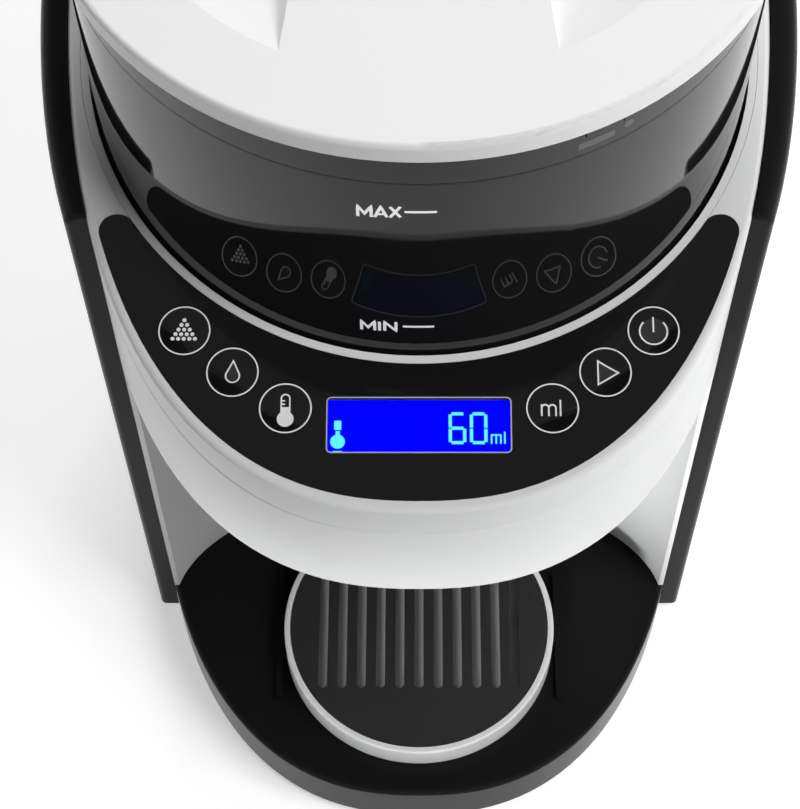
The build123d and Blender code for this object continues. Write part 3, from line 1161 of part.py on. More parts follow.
with BuildPart() as tank_lid:
    with BuildSketch(Plane.XY.offset(HEAD_BOTTOM_Z)) as lid_plan:
        draw_oval(BODY_HALF_WIDTH)
        keep_between(TANK_FRONT_Y, LID_REAR)
        with Locations((0, TANK_FRONT_Y)):
            Ellipse(12, 2.5, mode=Mode.SUBTRACT)
    extrude(amount=LID_TOP_Z - HEAD_BOTTOM_Z)
    front_corners = tank_lid.edges().filter_by(Axis.Z).group_by(Axis.Y)[0].sort_by(Axis.X)
    fillet([front_corners[0], front_corners[-1]], TANK_EDGE)
    split(bisect_by=top_plane(), keep=Keep.BOTTOM)
    split(bisect_by=top_plane(TANK_LID - GAP), keep=Keep.TOP)
    lid_top = tank_lid.faces().filter_by(lambda f: f.normal_at().dot(top_plane().z_dir) > 0.999)[0]
    fillet(lid_top.edges().filter_by(lambda e: abs(e.center().X) > BODY_HALF_WIDTH / 2), LID_EDGE)
    with BuildSketch(HINGE_PLANE):
        Circle(KNUCKLE_RADIUS)
        with BuildLine() as web:
            Polyline(
                (0, KNUCKLE_RADIUS),
                (-4.6, KNUCKLE_RADIUS),
                (-4.6, KNUCKLE_RADIUS - 1.6),
                (0, -0.5),
                close=True,
            )
        make_face(web.edges())
        Circle(PIN_RADIUS + RUNNING, mode=Mode.SUBTRACT)
    extrude(amount=KNUCKLE_LENGTH / 2, both=True)

with BuildPart() as tank_valve:
    with BuildSketch(Plane.XY.offset(VALVE_CLOSED_Z + SEAL_THICKNESS)):
        with Locations((0, TANK_OUTLET_Y)):
            Circle(VALVE_HEAD)
    extrude(amount=HEAD_THICKNESS)
    with BuildSketch(Plane.XY.offset(TANK_Z - TANK_OUTLET_LENGTH + 2)):
        with Locations((0, TANK_OUTLET_Y)):
            Circle(VALVE_STEM)
    extrude(amount=TANK_OUTLET_LENGTH - 2 + TANK_FLOOR + SEAL_THICKNESS)
    with BuildSketch(Plane.XY.offset(VALVE_CLOSED_Z + SEAL_THICKNESS + HEAD_THICKNESS)):
        with Locations((0, TANK_OUTLET_Y)):
            Circle(VALVE_STEM)
    extrude(amount=SPRING_LENGTH + CAGE_PLATE + 1.5)

with BuildPart() as valve_seal:
    with BuildSketch(Plane.XY.offset(VALVE_CLOSED_Z + 0.05)):
        with Locations((0, TANK_OUTLET_Y)):
            Circle(VALVE_HEAD)
            Circle(VALVE_STEM + FIT, mode=Mode.SUBTRACT)
    extrude(amount=SEAL_THICKNESS - 0.05)

SPRING_Z = VALVE_CLOSED_Z + SEAL_THICKNESS + HEAD_THICKNESS
CAGE_TOP_Z = SPRING_Z + SPRING_LENGTH

with BuildPart() as valve_spring:
    with BuildLine(Plane.XY) as coil_path:
        Helix(
            pitch=(SPRING_LENGTH - 2 * SPRING_WIRE) / SPRING_TURNS,
            height=SPRING_LENGTH - 2 * SPRING_WIRE,
            radius=SPRING_RADIUS,
            center=(0, TANK_OUTLET_Y, SPRING_Z + SPRING_WIRE),
        )
    with BuildSketch(Plane(coil_path.line @ 0, z_dir=coil_path.line % 0)):
        Circle(SPRING_WIRE)
    sweep(is_frenet=True)

with BuildPart() as valve_cage:
    with BuildSketch(Plane.XY.offset(CAGE_TOP_Z)):
        with Locations((0, TANK_OUTLET_Y)):
            Circle(CAGE_RADIUS)
            Circle(VALVE_STEM + GAP, mode=Mode.SUBTRACT)
    extrude(amount=CAGE_PLATE)
    with BuildSketch(Plane.XY.offset(VALVE_CLOSED_Z)):
        with Locations((0, TANK_OUTLET_Y)):
            with PolarLocations(CAGE_RADIUS - 0.8, CAGE_LEGS):
                Rectangle(1.6, 4)
    extrude(amount=CAGE_TOP_Z - VALVE_CLOSED_Z)

# ================================================================ tank socket, pump, heater and hoses
SOCKET_FLOOR = 2.0
SOCKET_Z = TANK_Z - TANK_OUTLET_LENGTH - 3.5 - SOCKET_FLOOR
SOCKET_BORE = TANK_OUTLET_RADIUS + 0.6
HOSE_END_Y = TANK_OUTLET_Y - SOCKET_RADIUS - 4
RING_RADIUS = 0.85
SEAL_Z = PLATFORM_Z - 5.0

with BuildPart() as tank_socket:
    with BuildSketch(Plane.XY.offset(SOCKET_Z)):
        with Locations((0, TANK_OUTLET_Y)):
            Circle(SOCKET_RADIUS)
    extrude(amount=PLATFORM_Z - SOCKET_Z)
    with BuildSketch(Plane.XY.offset(PLATFORM_Z - SHELL_WALL - 1.4)):
        with Locations((0, TANK_OUTLET_Y)):
            Circle(SOCKET_RADIUS + 3)
    extrude(amount=1.4)
    with BuildSketch(Plane.XY.offset(SOCKET_Z + SOCKET_FLOOR)):
        with Locations((0, TANK_OUTLET_Y)):
            Circle(SOCKET_BORE)
    extrude(amount=PLATFORM_Z - SOCKET_Z, mode=Mode.SUBTRACT)
    with BuildSketch(Plane.XY.offset(SEAL_Z - RING_RADIUS - FIT / 2)):
        with Locations((0, TANK_OUTLET_Y)):
            Circle(SOCKET_BORE + 2 * RING_RADIUS - GAP + FIT / 2)
    extrude(amount=2 * RING_RADIUS + FIT, mode=Mode.SUBTRACT)
    with BuildSketch(Plane.XY.offset(SOCKET_Z + SOCKET_FLOOR)):
        with Locations((0, TANK_OUTLET_Y)):
            Circle(VALVE_STEM - 0.4)
    extrude(amount=TANK_Z - TANK_OUTLET_LENGTH + 2 - GAP - SOCKET_Z - SOCKET_FLOOR)
    with BuildSketch(Plane.XZ.offset(-(TANK_OUTLET_Y - SOCKET_BORE - 0.5))):
        with Locations((0, HOSE_Z)):
            Circle(HOSE_BORE - 0.05)
    extrude(amount=SOCKET_WALL + 6)
    with BuildSketch(Plane.XZ.offset(-(TANK_OUTLET_Y - 6))):
        with Locations((0, HOSE_Z)):
            Circle(1.0)
    extrude(amount=SOCKET_WALL + 16, mode=Mode.SUBTRACT)

with BuildPart() as socket_seal:
    with Locations((0, TANK_OUTLET_Y, SEAL_Z)):
        Torus(SOCKET_BORE + RING_RADIUS - GAP, RING_RADIUS)


def make_hose(points, radius_list):
    """A hose along straight runs joined by tangent arcs."""
    with BuildPart() as hose:
        with BuildLine() as route:
            FilletPolyline(*points, radius=radius_list)
        with BuildSketch(Plane(route.line @ 0, z_dir=route.line % 0)):
            Circle(HOSE_RADIUS)
            Circle(HOSE_BORE, mode=Mode.SUBTRACT)
        sweep()
    return hose.part


PUMP_TOP_Z = BASE_TOP_Z + PUMP_HEIGHT
PUMP_HOSE_Z = PUMP_TOP_Z + 16.0
HEATER_TOP_Z = BASE_TOP_Z + HEATER_HEIGHT
BARB = 4.0

inlet_hose = make_hose([(0, HOSE_END_Y + 2, HOSE_Z), (0, PUMP_Y, HOSE_Z), (0, PUMP_Y, BASE_TOP_Z)], 4.0)
pump_hose = make_hose(
    [
        (0, PUMP_Y, PUMP_TOP_Z),
        (0, PUMP_Y, PUMP_HOSE_Z),
        (HEATER_X - HEATER_RADIUS, PUMP_Y, PUMP_HOSE_Z),
    ],
    8.0,
)
nozzle_hose = make_hose(
    [
        (HEATER_X, PUMP_Y, HEATER_TOP_Z),
        (HEATER_X, PUMP_Y, NOZZLE_HOSE_Z),
        (HEATER_X, NOZZLE_Y, NOZZLE_HOSE_Z),
        (NOZZLE_X + NOZZLE_RADIUS, NOZZLE_Y, NOZZLE_HOSE_Z),
    ],
    5.0,
)

with BuildPart() as water_pump:
    with BuildSketch(Plane.XY.offset(BASE_TOP_Z)):
        with Locations((0, PUMP_Y)):
            Circle(PUMP_RADIUS)
    extrude(amount=PUMP_HEIGHT)
    fillet(water_pump.edges().group_by(Axis.Z)[-1], 3)
    with BuildSketch(Plane.XY.offset(BASE_TOP_Z)):
        with Locations((0, PUMP_Y)):
            Rectangle(2 * PUMP_RADIUS + 10, 12)
    extrude(amount=3)
    for barb_z, direction in ((BASE_TOP_Z - BARB, 1), (PUMP_TOP_Z, 1)):
        with BuildSketch(Plane.XY.offset(barb_z)):
            with Locations((0, PUMP_Y)):
                Circle(HOSE_BORE - 0.05)
        extrude(amount=BARB * direction)

with BuildPart() as water_heater:
    with BuildSketch(Plane.XY.offset(BASE_TOP_Z)):
        with Locations((HEATER_X, PUMP_Y)):
            Circle(HEATER_RADIUS)
    extrude(amount=HEATER_HEIGHT)
    fillet(water_heater.edges().group_by(Axis.Z)[-1], 4)
    with BuildSketch(Plane.XY.offset(BASE_TOP_Z)):
        with Locations((HEATER_X, PUMP_Y)):
            Rectangle(12, 2 * HEATER_RADIUS + 10)
    extrude(amount=3)
    with BuildSketch(Plane.XY.offset(HEATER_TOP_Z)):
        with Locations((HEATER_X, PUMP_Y)):
            Circle(HOSE_BORE - 0.05)
    extrude(amount=BARB)
    with BuildSketch(Plane.YZ.offset(HEATER_X - HEATER_RADIUS - BARB)):
        with Locations((PUMP_Y, PUMP_HOSE_Z)):
            Circle(HOSE_BORE - 0.05)
    extrude(amount=BARB + 1)

# ================================================================ electrics
MAIN_BOARD_X = -48.0
MAIN_BOARD_Z = 44.0
MAIN_BOARD_WIDTH = 60.0
MAIN_BOARD_HEIGHT = 90.0
STANDOFF = 6.0
WALL_FACE_Y = SHELL_REAR_Y - SHELL_WALL

with BuildPart() as main_board:
    with BuildSketch(Plane.XZ.offset(-(WALL_FACE_Y - STANDOFF))):
        with Locations((MAIN_BOARD_X, MAIN_BOARD_Z + MAIN_BOARD_HEIGHT / 2)):
            Rectangle(MAIN_BOARD_WIDTH, MAIN_BOARD_HEIGHT)
    extrude(amount=BOARD_THICKNESS)
    with BuildSketch(Plane.XZ.offset(-WALL_FACE_Y)):
        with Locations((MAIN_BOARD_X, MAIN_BOARD_Z + MAIN_BOARD_HEIGHT / 2)):
            with GridLocations(MAIN_BOARD_WIDTH - 10, MAIN_BOARD_HEIGHT - 10, 2, 2):
                Circle(2.5)
    extrude(amount=STANDOFF)

with BuildPart() as board_components:
    board_face = Plane.XZ.offset(-(WALL_FACE_Y - STANDOFF - BOARD_THICKNESS))
    middle_z = MAIN_BOARD_Z + MAIN_BOARD_HEIGHT / 2
    with BuildSketch(board_face):
        with Locations((MAIN_BOARD_X - 10, middle_z - 26)):
            Rectangle(26, 24)
    extrude(amount=20)
    with BuildSketch(board_face):
        with Locations((MAIN_BOARD_X + 16, middle_z - 26), (MAIN_BOARD_X + 16, middle_z - 10)):
            Rectangle(16, 12)
    extrude(amount=14)
    with BuildSketch(board_face):
        with Locations((MAIN_BOARD_X - 18, middle_z + 4), (MAIN_BOARD_X - 6, middle_z + 4)):
            Circle(5)
    extrude(amount=18)
    with BuildSketch(board_face):
        with Locations((MAIN_BOARD_X, middle_z + 26)):
            Rectangle(14, 14)
    extrude(amount=2)
    with BuildSketch(board_face):
        with Locations((MAIN_BOARD_X + 20, middle_z + 12), (MAIN_BOARD_X + 20, middle_z + 28)):
            Rectangle(8, 10)
    extrude(amount=8)

with BuildPart() as cord_gland:
    gland_face_y = OVAL_Y + OVAL_HALF_LENGTH * (
        1 - abs(GLAND_X / BODY_HALF_WIDTH) ** OVAL_POWER
    ) ** (1 / OVAL_POWER)
    with BuildSketch(Plane.XZ.offset(-(gland_face_y + 1.0))):
        with Locations((GLAND_X, GLAND_Z)):
            Circle(GLAND_RADIUS)
    extrude(amount=14)
    with BuildSketch(Plane.XZ.offset(-(gland_face_y + 1.0))):
        with Locations((GLAND_X, GLAND_Z)):
            Circle(3.2)
    extrude(amount=14, mode=Mode.SUBTRACT)

# ================================================================ files
finish(rubber_feet.part, "rubber_feet")
finish(base_plate.part, "base_plate")
finish(base_screws.part, "base_screws")
finish(base_shell.part, "base_shell")
finish(body_shell.part, "body_shell")
finish(front_shell.part, "front_shell")
finish(recess_liner.part, "recess_liner")
finish(head_shell.part, "head_shell")
finish(head_screws.part, "head_screws")
finish(top_cover.part, "top_cover")
finish(container_seat.part, "container_seat")
finish(powder_chute.part, "powder_chute")
finish(water_nozzle.part, "water_nozzle")
finish(control_panel.part, "control_panel")
finish(display_window.part, "display_window")
finish(lcd_module.part, "lcd_module")
finish(control_board.part, "control_board")
finish(tact_switches.part, "tact_switches")
finish(container_base.part, "container_base")
finish(powder_container.part, "powder_container")
finish(powder_wheel.part, "powder_wheel")
finish(powder_scraper.part, "powder_scraper")
finish(stirring_wheel.part, "stirring_wheel")
finish(wheel_coupler.part, "wheel_coupler")
finish(container_lid.part, "container_lid")
finish(lid_seal.part, "lid_seal")
finish(gear_shaft.part, "gear_shaft")
finish(drive_gear.part, "drive_gear")
finish(motor_pinion.part, "motor_pinion")
finish(gear_motor.part, "gear_motor")
finish(motor_screws.part, "motor_screws")
finish(funnel_rails.part, "funnel_rails")
finish(mixing_funnel.part, "mixing_funnel")
finish(funnel_cover.part, "funnel_cover")
finish(bottle_stand.part, "bottle_stand")
finish(drip_grid.part, "drip_grid")
finish(water_tank.part, "water_tank")
finish(tank_hinge_pin.part, "tank_hinge_pin")
finish(tank_lid.part, "tank_lid")
finish(tank_valve.part, "tank_valve")
finish(valve_seal.part, "valve_seal")
finish(valve_spring.part, "valve_spring")
finish(valve_cage.part, "valve_cage")
finish(tank_socket.part, "tank_socket")
finish(socket_seal.part, "socket_seal")
finish(inlet_hose, "inlet_hose")
finish(pump_hose, "pump_hose")
finish(nozzle_hose, "nozzle_hose")
finish(water_pump.part, "water_pump")
finish(water_heater.part, "water_heater")
finish(main_board.part, "main_board")
finish(board_components.part, "board_components")
finish(cord_gland.part, "cord_gland")
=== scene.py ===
"""Looks of a baby formula maker: finishes, button symbols, display, level marks and a plain studio."""

from math import asin, ceil, cos, hypot, pi, radians, sin, sqrt

import bmesh
import bpy
from bpy.props import FloatProperty, FloatVectorProperty, IntProperty, PointerProperty
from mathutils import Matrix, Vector


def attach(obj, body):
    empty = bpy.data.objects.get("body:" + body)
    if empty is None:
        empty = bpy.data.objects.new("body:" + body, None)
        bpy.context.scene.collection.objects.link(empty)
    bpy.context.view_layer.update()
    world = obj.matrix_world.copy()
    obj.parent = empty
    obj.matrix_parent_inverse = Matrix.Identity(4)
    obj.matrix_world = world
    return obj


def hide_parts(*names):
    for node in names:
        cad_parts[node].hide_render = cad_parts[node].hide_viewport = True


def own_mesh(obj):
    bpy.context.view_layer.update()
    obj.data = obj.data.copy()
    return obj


bl_info = {
    "name": "Formula maker looks",
    "version": (1, 0, 0),
    "blender": (4, 5, 0),
    "location": "View3D > Sidebar > Formula",
    "description": "Finishes, symbols, display and studio for a baby formula maker",
    "category": "Object",
}

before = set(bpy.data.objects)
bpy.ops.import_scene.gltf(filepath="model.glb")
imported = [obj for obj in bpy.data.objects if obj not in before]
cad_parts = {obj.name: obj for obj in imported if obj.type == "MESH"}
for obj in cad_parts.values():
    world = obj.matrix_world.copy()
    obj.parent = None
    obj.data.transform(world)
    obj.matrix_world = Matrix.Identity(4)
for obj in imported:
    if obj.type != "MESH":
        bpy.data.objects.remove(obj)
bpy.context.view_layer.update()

MM = 0.001
SLOPE = radians(10.04)  # how far the top slopes down to the front
AXIS_Y = -31.0  # the powder container's axis
TOP_Z = 258.0  # sloping top over the container's axis

# each button's centre on the sloping top, in millimetres
BUTTONS = {
    "powder_button": (-59.4, -82.6),
    "water_button": (-46.9, -93.8),
    "temperature_button": (-33.4, -103.4),
    "volume_button": (33.4, -103.4),
    "start_button": (46.9, -93.8),
    "power_button": (59.4, -82.6),
}
BUTTON_RADIUS = 6.65
BUTTON_EDGE = 0.5  # flat border round a button's dish
BUTTON_DISH = 0.45  # depth of the dish

CONTAINER_RADIUS = 87.17

DISPLAY_U, DISPLAY_V = 0.0, -107.8
DISPLAY_WIDTH, DISPLAY_HEIGHT = 46.0, 14.5
DISPLAY_CORNER = 1.2
SCREEN_DEPTH = 1.7  # lit screen under the window's face

# plan of the tank's back wall, and the foot of its level marks
OVAL_POWER, OVAL_HALF_WIDTH, OVAL_HALF_LENGTH = 2.38, 102.5, 159.5
TANK_MARKS_X, TANK_MARKS_Z = 62.0, 62.0

# sockets of a Mix node that mixes colours
MIX_SHARE, MIX_A, MIX_B, MIX_COLOUR = 0, 6, 7, 2

WHITE = (1.0, 1.0, 1.0, 1.0)


# ---------------------------------------------------------------- properties
class FormulaSizes(bpy.types.PropertyGroup):
    ring_width: FloatProperty(
        name="Ring width", description="Width of the ring round each button", default=0.38 * MM, unit="LENGTH"
    )
    symbol_line: FloatProperty(
        name="Symbol line", description="Line width of the button symbols", default=0.38 * MM, unit="LENGTH"
    )
    print_lift: FloatProperty(
        name="Print height", description="How far printed marks stand off a surface", default=0.03 * MM,
        unit="LENGTH"
    )
    mark_height: FloatProperty(
        name="Level letter height", description="Capital height of the level marks", default=5.0 * MM,
        unit="LENGTH"
    )
    mark_line: FloatProperty(
        name="Level line", description="Line width of the level marks", default=0.85 * MM, unit="LENGTH"
    )
    max_level: FloatProperty(
        name="Upper level", description="Height of the upper powder level", default=304.5 * MM, unit="LENGTH"
    )
    min_level: FloatProperty(
        name="Lower level", description="Height of the lower powder level", default=255.0 * MM, unit="LENGTH"
    )
    lid_skirt: FloatProperty(
        name="Lid skirt edge", description="Height of the lid's skirt edge behind the wall", default=315.0 * MM,
        unit="LENGTH"
    )
    tank_steps: IntProperty(
        name="Tank level marks", description="How many level marks the water tank has", default=11, min=2
    )


class FormulaColours(bpy.types.PropertyGroup):
    shell: FloatVectorProperty(
        name="White housing", description="Moulded white of the body", subtype="COLOR", size=3,
        default=(0.73, 0.735, 0.74)
    )
    lid: FloatVectorProperty(
        name="Lid", description="Moulded white of the lid", subtype="COLOR", size=3, default=(0.8, 0.8, 0.8)
    )
    gloss: FloatVectorProperty(
        name="Gloss black", description="Panel, buttons and bay lining", subtype="COLOR", size=3,
        default=(0.004, 0.004, 0.0045)
    )
    smoke: FloatVectorProperty(
        name="Smoke", description="Tint of the powder container", subtype="COLOR", size=3,
        default=(0.009, 0.009, 0.0095)
    )
    print_white: FloatVectorProperty(
        name="Print", description="Symbols and level marks", subtype="COLOR", size=3, default=(0.86, 0.86, 0.86)
    )
    screen: FloatVectorProperty(
        name="Screen", description="Lit background of the display", subtype="COLOR", size=3,
        default=(0.0, 0.0, 1.0)
    )
    digits: FloatVectorProperty(
        name="Digits", description="Lit figures of the display", subtype="COLOR", size=3,
        default=(0.12, 0.85, 1.0)
    )


# ---------------------------------------------------------------- shared shader groups
def new_group(name, inputs, output):
    """An empty shader group with float inputs (name, default) and one output."""
    group = bpy.data.node_groups.new(name, "ShaderNodeTree")
    for label, value in inputs:
        socket = group.interface.new_socket(label, in_out="INPUT", socket_type="NodeSocketFloat")
        socket.default_value = value
    group.interface.new_socket(output, in_out="OUTPUT", socket_type="NodeSocketFloat")
    return group, group.nodes.new("NodeGroupInput"), group.nodes.new("NodeGroupOutput")


def wire(tree, source, target):
    tree.links.new(source, target)


def object_noise(tree, scale_socket, detail, stretch=(1.0, 1.0, 1.0)):
    """Noise on object coordinates, stretched; its scale comes from a socket."""
    coordinates = tree.nodes.new("ShaderNodeTexCoord")
    mapping = tree.nodes.new("ShaderNodeMapping")
    mapping.inputs["Scale"].default_value = stretch
    noise = tree.nodes.new("ShaderNodeTexNoise")
    noise.inputs["Detail"].default_value = detail
    wire(tree, coordinates.outputs["Object"], mapping.inputs["Vector"])
    wire(tree, mapping.outputs["Vector"], noise.inputs["Vector"])
    wire(tree, scale_socket, noise.inputs["Scale"])
    return noise.outputs["Fac"]


def remap(tree, value, low_from, high_from, low_to, high_to):
    """Map Range node; each limit may be a number or a socket."""
    node = tree.nodes.new("ShaderNodeMapRange")
    wire(tree, value, node.inputs["Value"])
    limits = {"From Min": low_from, "From Max": high_from, "To Min": low_to, "To Max": high_to}
    for label, limit in limits.items():
        if isinstance(limit, (int, float)):
            node.inputs[label].default_value = limit
        else:
            wire(tree, limit, node.inputs[label])
    return node.outputs["Result"]


def range_group(name, scale, low, high, output, span, detail, stretch=(1.0, 1.0, 1.0)):
    """A group that turns noise within a span into values from its Low to its High input."""
    group, read, write = new_group(name, [("Scale", scale), ("Low", low), ("High", high)], output)
    noise = object_noise(group, read.outputs["Scale"], detail, stretch)
    wire(group, remap(group, noise, *span, read.outputs["Low"], read.outputs["High"]), write.inputs[output])
    return group


def build_groups():
    """Fine mould grain, handling marks on gloss, slight unevenness of colour, and brushed metal."""
    grain, read, write = new_group("Mould grain", [("Scale", 2600.0), ("Depth", 1.0)], "Height")
    fine = object_noise(grain, read.outputs["Scale"], 2.0)
    wire(grain, remap(grain, fine, 0.3, 0.7, 0.0, read.outputs["Depth"]), write.inputs["Height"])
    return {
        "grain": grain,
        "smudge": range_group("Handling marks", 28.0, 0.05, 0.14, "Roughness", (0.42, 0.72), 6.0),
        "tone": range_group("Tone drift", 9.0, 0.96, 1.0, "Tone", (0.35, 0.65), 3.0),
        "brush": range_group("Brushed lines", 420.0, 0.22, 0.42, "Roughness", (0.35, 0.65), 3.0,
                             (1.0, 1.0, 0.04)),
    }


GROUPS = build_groups()


def place_group(tree, key, **values):
    node = tree.nodes.new("ShaderNodeGroup")
    node.node_tree = GROUPS[key]
    for label, value in values.items():
        node.inputs[label].default_value = value
    return node.outputs[0]


def new_material(name):
    material = bpy.data.materials.new(name)
    material.use_nodes = True
    return material, material.node_tree, material.node_tree.nodes["Principled BSDF"]


def drift(tree, colour, share, target, **values):
    """Feeds a socket this colour, which drifts down to a share of itself over the surface."""
    mix = tree.nodes.new("ShaderNodeMix")
    mix.data_type = "RGBA"
    mix.inputs[MIX_A].default_value = (*[c * share for c in colour], 1.0)
    mix.inputs[MIX_B].default_value = (*colour, 1.0)
    wire(tree, place_group(tree, "tone", Low=0.0, **values), mix.inputs[MIX_SHARE])
    wire(tree, mix.outputs[MIX_COLOUR], target)


def moulded(name, colour, low, high, grain=0.0, grain_scale=2600.0, ior=1.47, tone=0.96,
            transmission=0.0, metal=0.0, brushed=False, glow=0.0):
    """A finish whose tone and roughness change a little over the surface, with a fine mould grain if asked."""
    material, tree, shader = new_material(name)
    shader.inputs["IOR"].default_value = ior
    shader.inputs["Metallic"].default_value = metal
    shader.inputs["Transmission Weight"].default_value = transmission
    shader.inputs["Emission Color"].default_value = WHITE
    shader.inputs["Emission Strength"].default_value = glow
    drift(tree, colour, tone, shader.inputs["Base Color"])
    key = "brush" if brushed else "smudge"
    wire(tree, place_group(tree, key, Low=low, High=high), shader.inputs["Roughness"])
    if grain:
        bump = tree.nodes.new("ShaderNodeBump")
        bump.inputs["Strength"].default_value = grain
        bump.inputs["Distance"].default_value = 0.05 * MM
        wire(tree, place_group(tree, "grain", Scale=grain_scale), bump.inputs["Height"])
        wire(tree, bump.outputs["Normal"], shader.inputs["Normal"])
    return material


def maths(tree, operation, a, b=None):
    """Math node; a and b may each be a number or a socket."""
    node = tree.nodes.new("ShaderNodeMath")
    node.operation = operation
    for socket, value in zip(node.inputs, (a, b)):
        if isinstance(value, (int, float)):
            socket.default_value = value
        elif value is not None:
            wire(tree, value, socket)
    return node.outputs[0]


def lit(name, colour, strength):
    """A glowing finish, a little uneven over the surface."""
    material, tree, shader = new_material(name)
    shader.inputs["Base Color"].default_value = (*[c * 0.1 for c in colour], 1.0)
    shader.inputs["Roughness"].default_value = 0.4
    shader.inputs["Specular IOR Level"].default_value = 0.0
    # the glow is left out of reflections, where it would drown the panel
    path = tree.nodes.new("ShaderNodeLightPath")
    direct = maths(tree, "LESS_THAN", path.outputs["Glossy Depth"], 0.5)
    wire(tree, maths(tree, "MULTIPLY", direct, strength), shader.inputs["Emission Strength"])
    drift(tree, colour, 0.93, shader.inputs["Emission Color"], Scale=60.0)
    return material


def paint(node_names, material):
    for name in node_names:
        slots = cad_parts[name].material_slots
        if not slots:
            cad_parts[name].data.materials.append(material)
        for slot in slots:
            slot.material = material


# ---------------------------------------------------------------- mesh helpers
def on_top(u, v, height=0.0):
    """A point on the sloping top, in metres, from its own x, y and height in millimetres."""
    along, up = v * cos(SLOPE) - height * sin(SLOPE), v * sin(SLOPE) + height * cos(SLOPE)
    return Vector((u, AXIS_Y + along, TOP_Z + up)) * MM


def dish_height(u, v):
    """Height of a button's dished face over the panel, at this distance from its centre."""
    edge = BUTTON_RADIUS - BUTTON_EDGE
    radius = (edge**2 + BUTTON_DISH**2) / (2 * BUTTON_DISH)
    return min(0.0, radius - BUTTON_DISH - sqrt(radius**2 - u * u - v * v))


def split_path(points, closed, step):
    """The path with points added so that none are further apart than step."""
    pairs = zip(points, points[1:] + points[:1]) if closed else zip(points, points[1:])
    result = []
    for a, b in pairs:
        count = max(1, ceil(hypot(b[0] - a[0], b[1] - a[1]) / step))
        result += [(a[0] + (b[0] - a[0]) * i / count, a[1] + (b[1] - a[1]) * i / count) for i in range(count)]
    return result if closed else result + [points[-1]]


SHARPEST_MITRE = 0.35  # keeps the outer corner of a sharp turn from running out


def ribbon(mesh, points, width, place, closed=False, step=0.4):
    """A flat line of this width along a path, mitred at its corners; place turns (u, v) into a point."""
    path = split_path(points, closed, step)
    count = len(path)
    rows = []
    for i, (x, y) in enumerate(path):
        before = path[i - 1] if closed or i else path[i]
        after = path[(i + 1) % count] if closed or i < count - 1 else path[i]
        arriving = Vector((x - before[0], y - before[1]))
        leaving = Vector((after[0] - x, after[1] - y))
        arriving = arriving.normalized() if arriving.length else leaving.normalized()
        leaving = leaving.normalized() if leaving.length else arriving
        left = Vector((-arriving.y, arriving.x))
        mitre = (left + Vector((-leaving.y, leaving.x))).normalized()
        reach = min(width / 2 / max(mitre.dot(left), SHARPEST_MITRE), width)
        rows.append([mesh.verts.new(place(x + mitre.x * reach * side, y + mitre.y * reach * side))
                     for side in (-1, 1)])
    last = count if closed else count - 1
    for i in range(last):
        a, b = rows[i], rows[(i + 1) % count]
        mesh.faces.new((a[0], b[0], b[1], a[1]))


def disc(mesh, centre, radius, place, sides=24):
    """A flat disc."""
    middle = mesh.verts.new(place(*centre))
    rim = [mesh.verts.new(place(x, y)) for x, y in arc(centre, radius, 0, 2 * pi, sides)[:-1]]
    for i in range(sides):
        mesh.faces.new((middle, rim[i], rim[(i + 1) % sides]))


def patch(mesh, low, high, place, step=1.0):
    """A flat rectangle in small squares, so that it follows a curved face."""
    wide, tall = high[0] - low[0], high[1] - low[1]
    across, along = max(1, ceil(wide / step)), max(1, ceil(tall / step))
    grid = [[mesh.verts.new(place(low[0] + wide * i / across, low[1] + tall * j / along))
             for j in range(along + 1)] for i in range(across + 1)]
    for i in range(across):
        for j in range(along):
            mesh.faces.new((grid[i][j], grid[i + 1][j], grid[i + 1][j + 1], grid[i][j + 1]))


def arc(centre, radius, start, end, count=24):
    return [(centre[0] + radius * cos(start + (end - start) * i / count),
             centre[1] + radius * sin(start + (end - start) * i / count)) for i in range(count + 1)]


def add_piece(name, data, body):
    """Puts a finished mesh in the scene as a named piece that rides on a body."""
    piece = bpy.data.objects.new(name, data)
    bpy.context.scene.collection.objects.link(piece)
    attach(piece, body)
    return piece


def make_piece(name, mesh, material, body, smooth=False):
    """Turns a bmesh into a piece."""
    data = bpy.data.meshes.new(name)
    mesh.to_mesh(data)
    mesh.free()
    data.materials.append(material)
    for face in data.polygons:
        face.use_smooth = smooth
    return add_piece(name, data, body)


# ---------------------------------------------------------------- geometry nodes
def node_tree(name, inputs):
    """A geometry tree with named inputs (name, socket type, default) and a geometry output."""
    tree = bpy.data.node_groups.new(name, "GeometryNodeTree")
    for label, kind, value in inputs:
        tree.interface.new_socket(label, in_out="INPUT", socket_type=kind).default_value = value
    tree.interface.new_socket("Geometry", in_out="OUTPUT", socket_type="NodeSocketGeometry")
    return tree, tree.nodes.new("NodeGroupInput"), tree.nodes.new("NodeGroupOutput")


def bake_tree(name, tree, values, place, body):
    """Runs a geometry tree on an empty mesh, keeps the result as a plain mesh and puts it in place."""
    carrier = bpy.data.objects.new(name + "_maker", bpy.data.meshes.new(name + "_maker"))
    bpy.context.scene.collection.objects.link(carrier)
    modifier = carrier.modifiers.new("maker", "NODES")
    modifier.node_group = tree
    for item in tree.interface.items_tree:
        if item.in_out == "INPUT" and item.name in values:
            modifier[item.identifier] = values[item.name]
    bpy.context.view_layer.update()
    evaluated = carrier.evaluated_get(bpy.context.evaluated_depsgraph_get())
    data = bpy.data.meshes.new_from_object(evaluated)
    bpy.data.objects.remove(carrier)
    for vertex in data.vertices:
        vertex.co = place(vertex.co.x / MM, vertex.co.y / MM)
    data.name = name
    return add_piece(name, data, body)


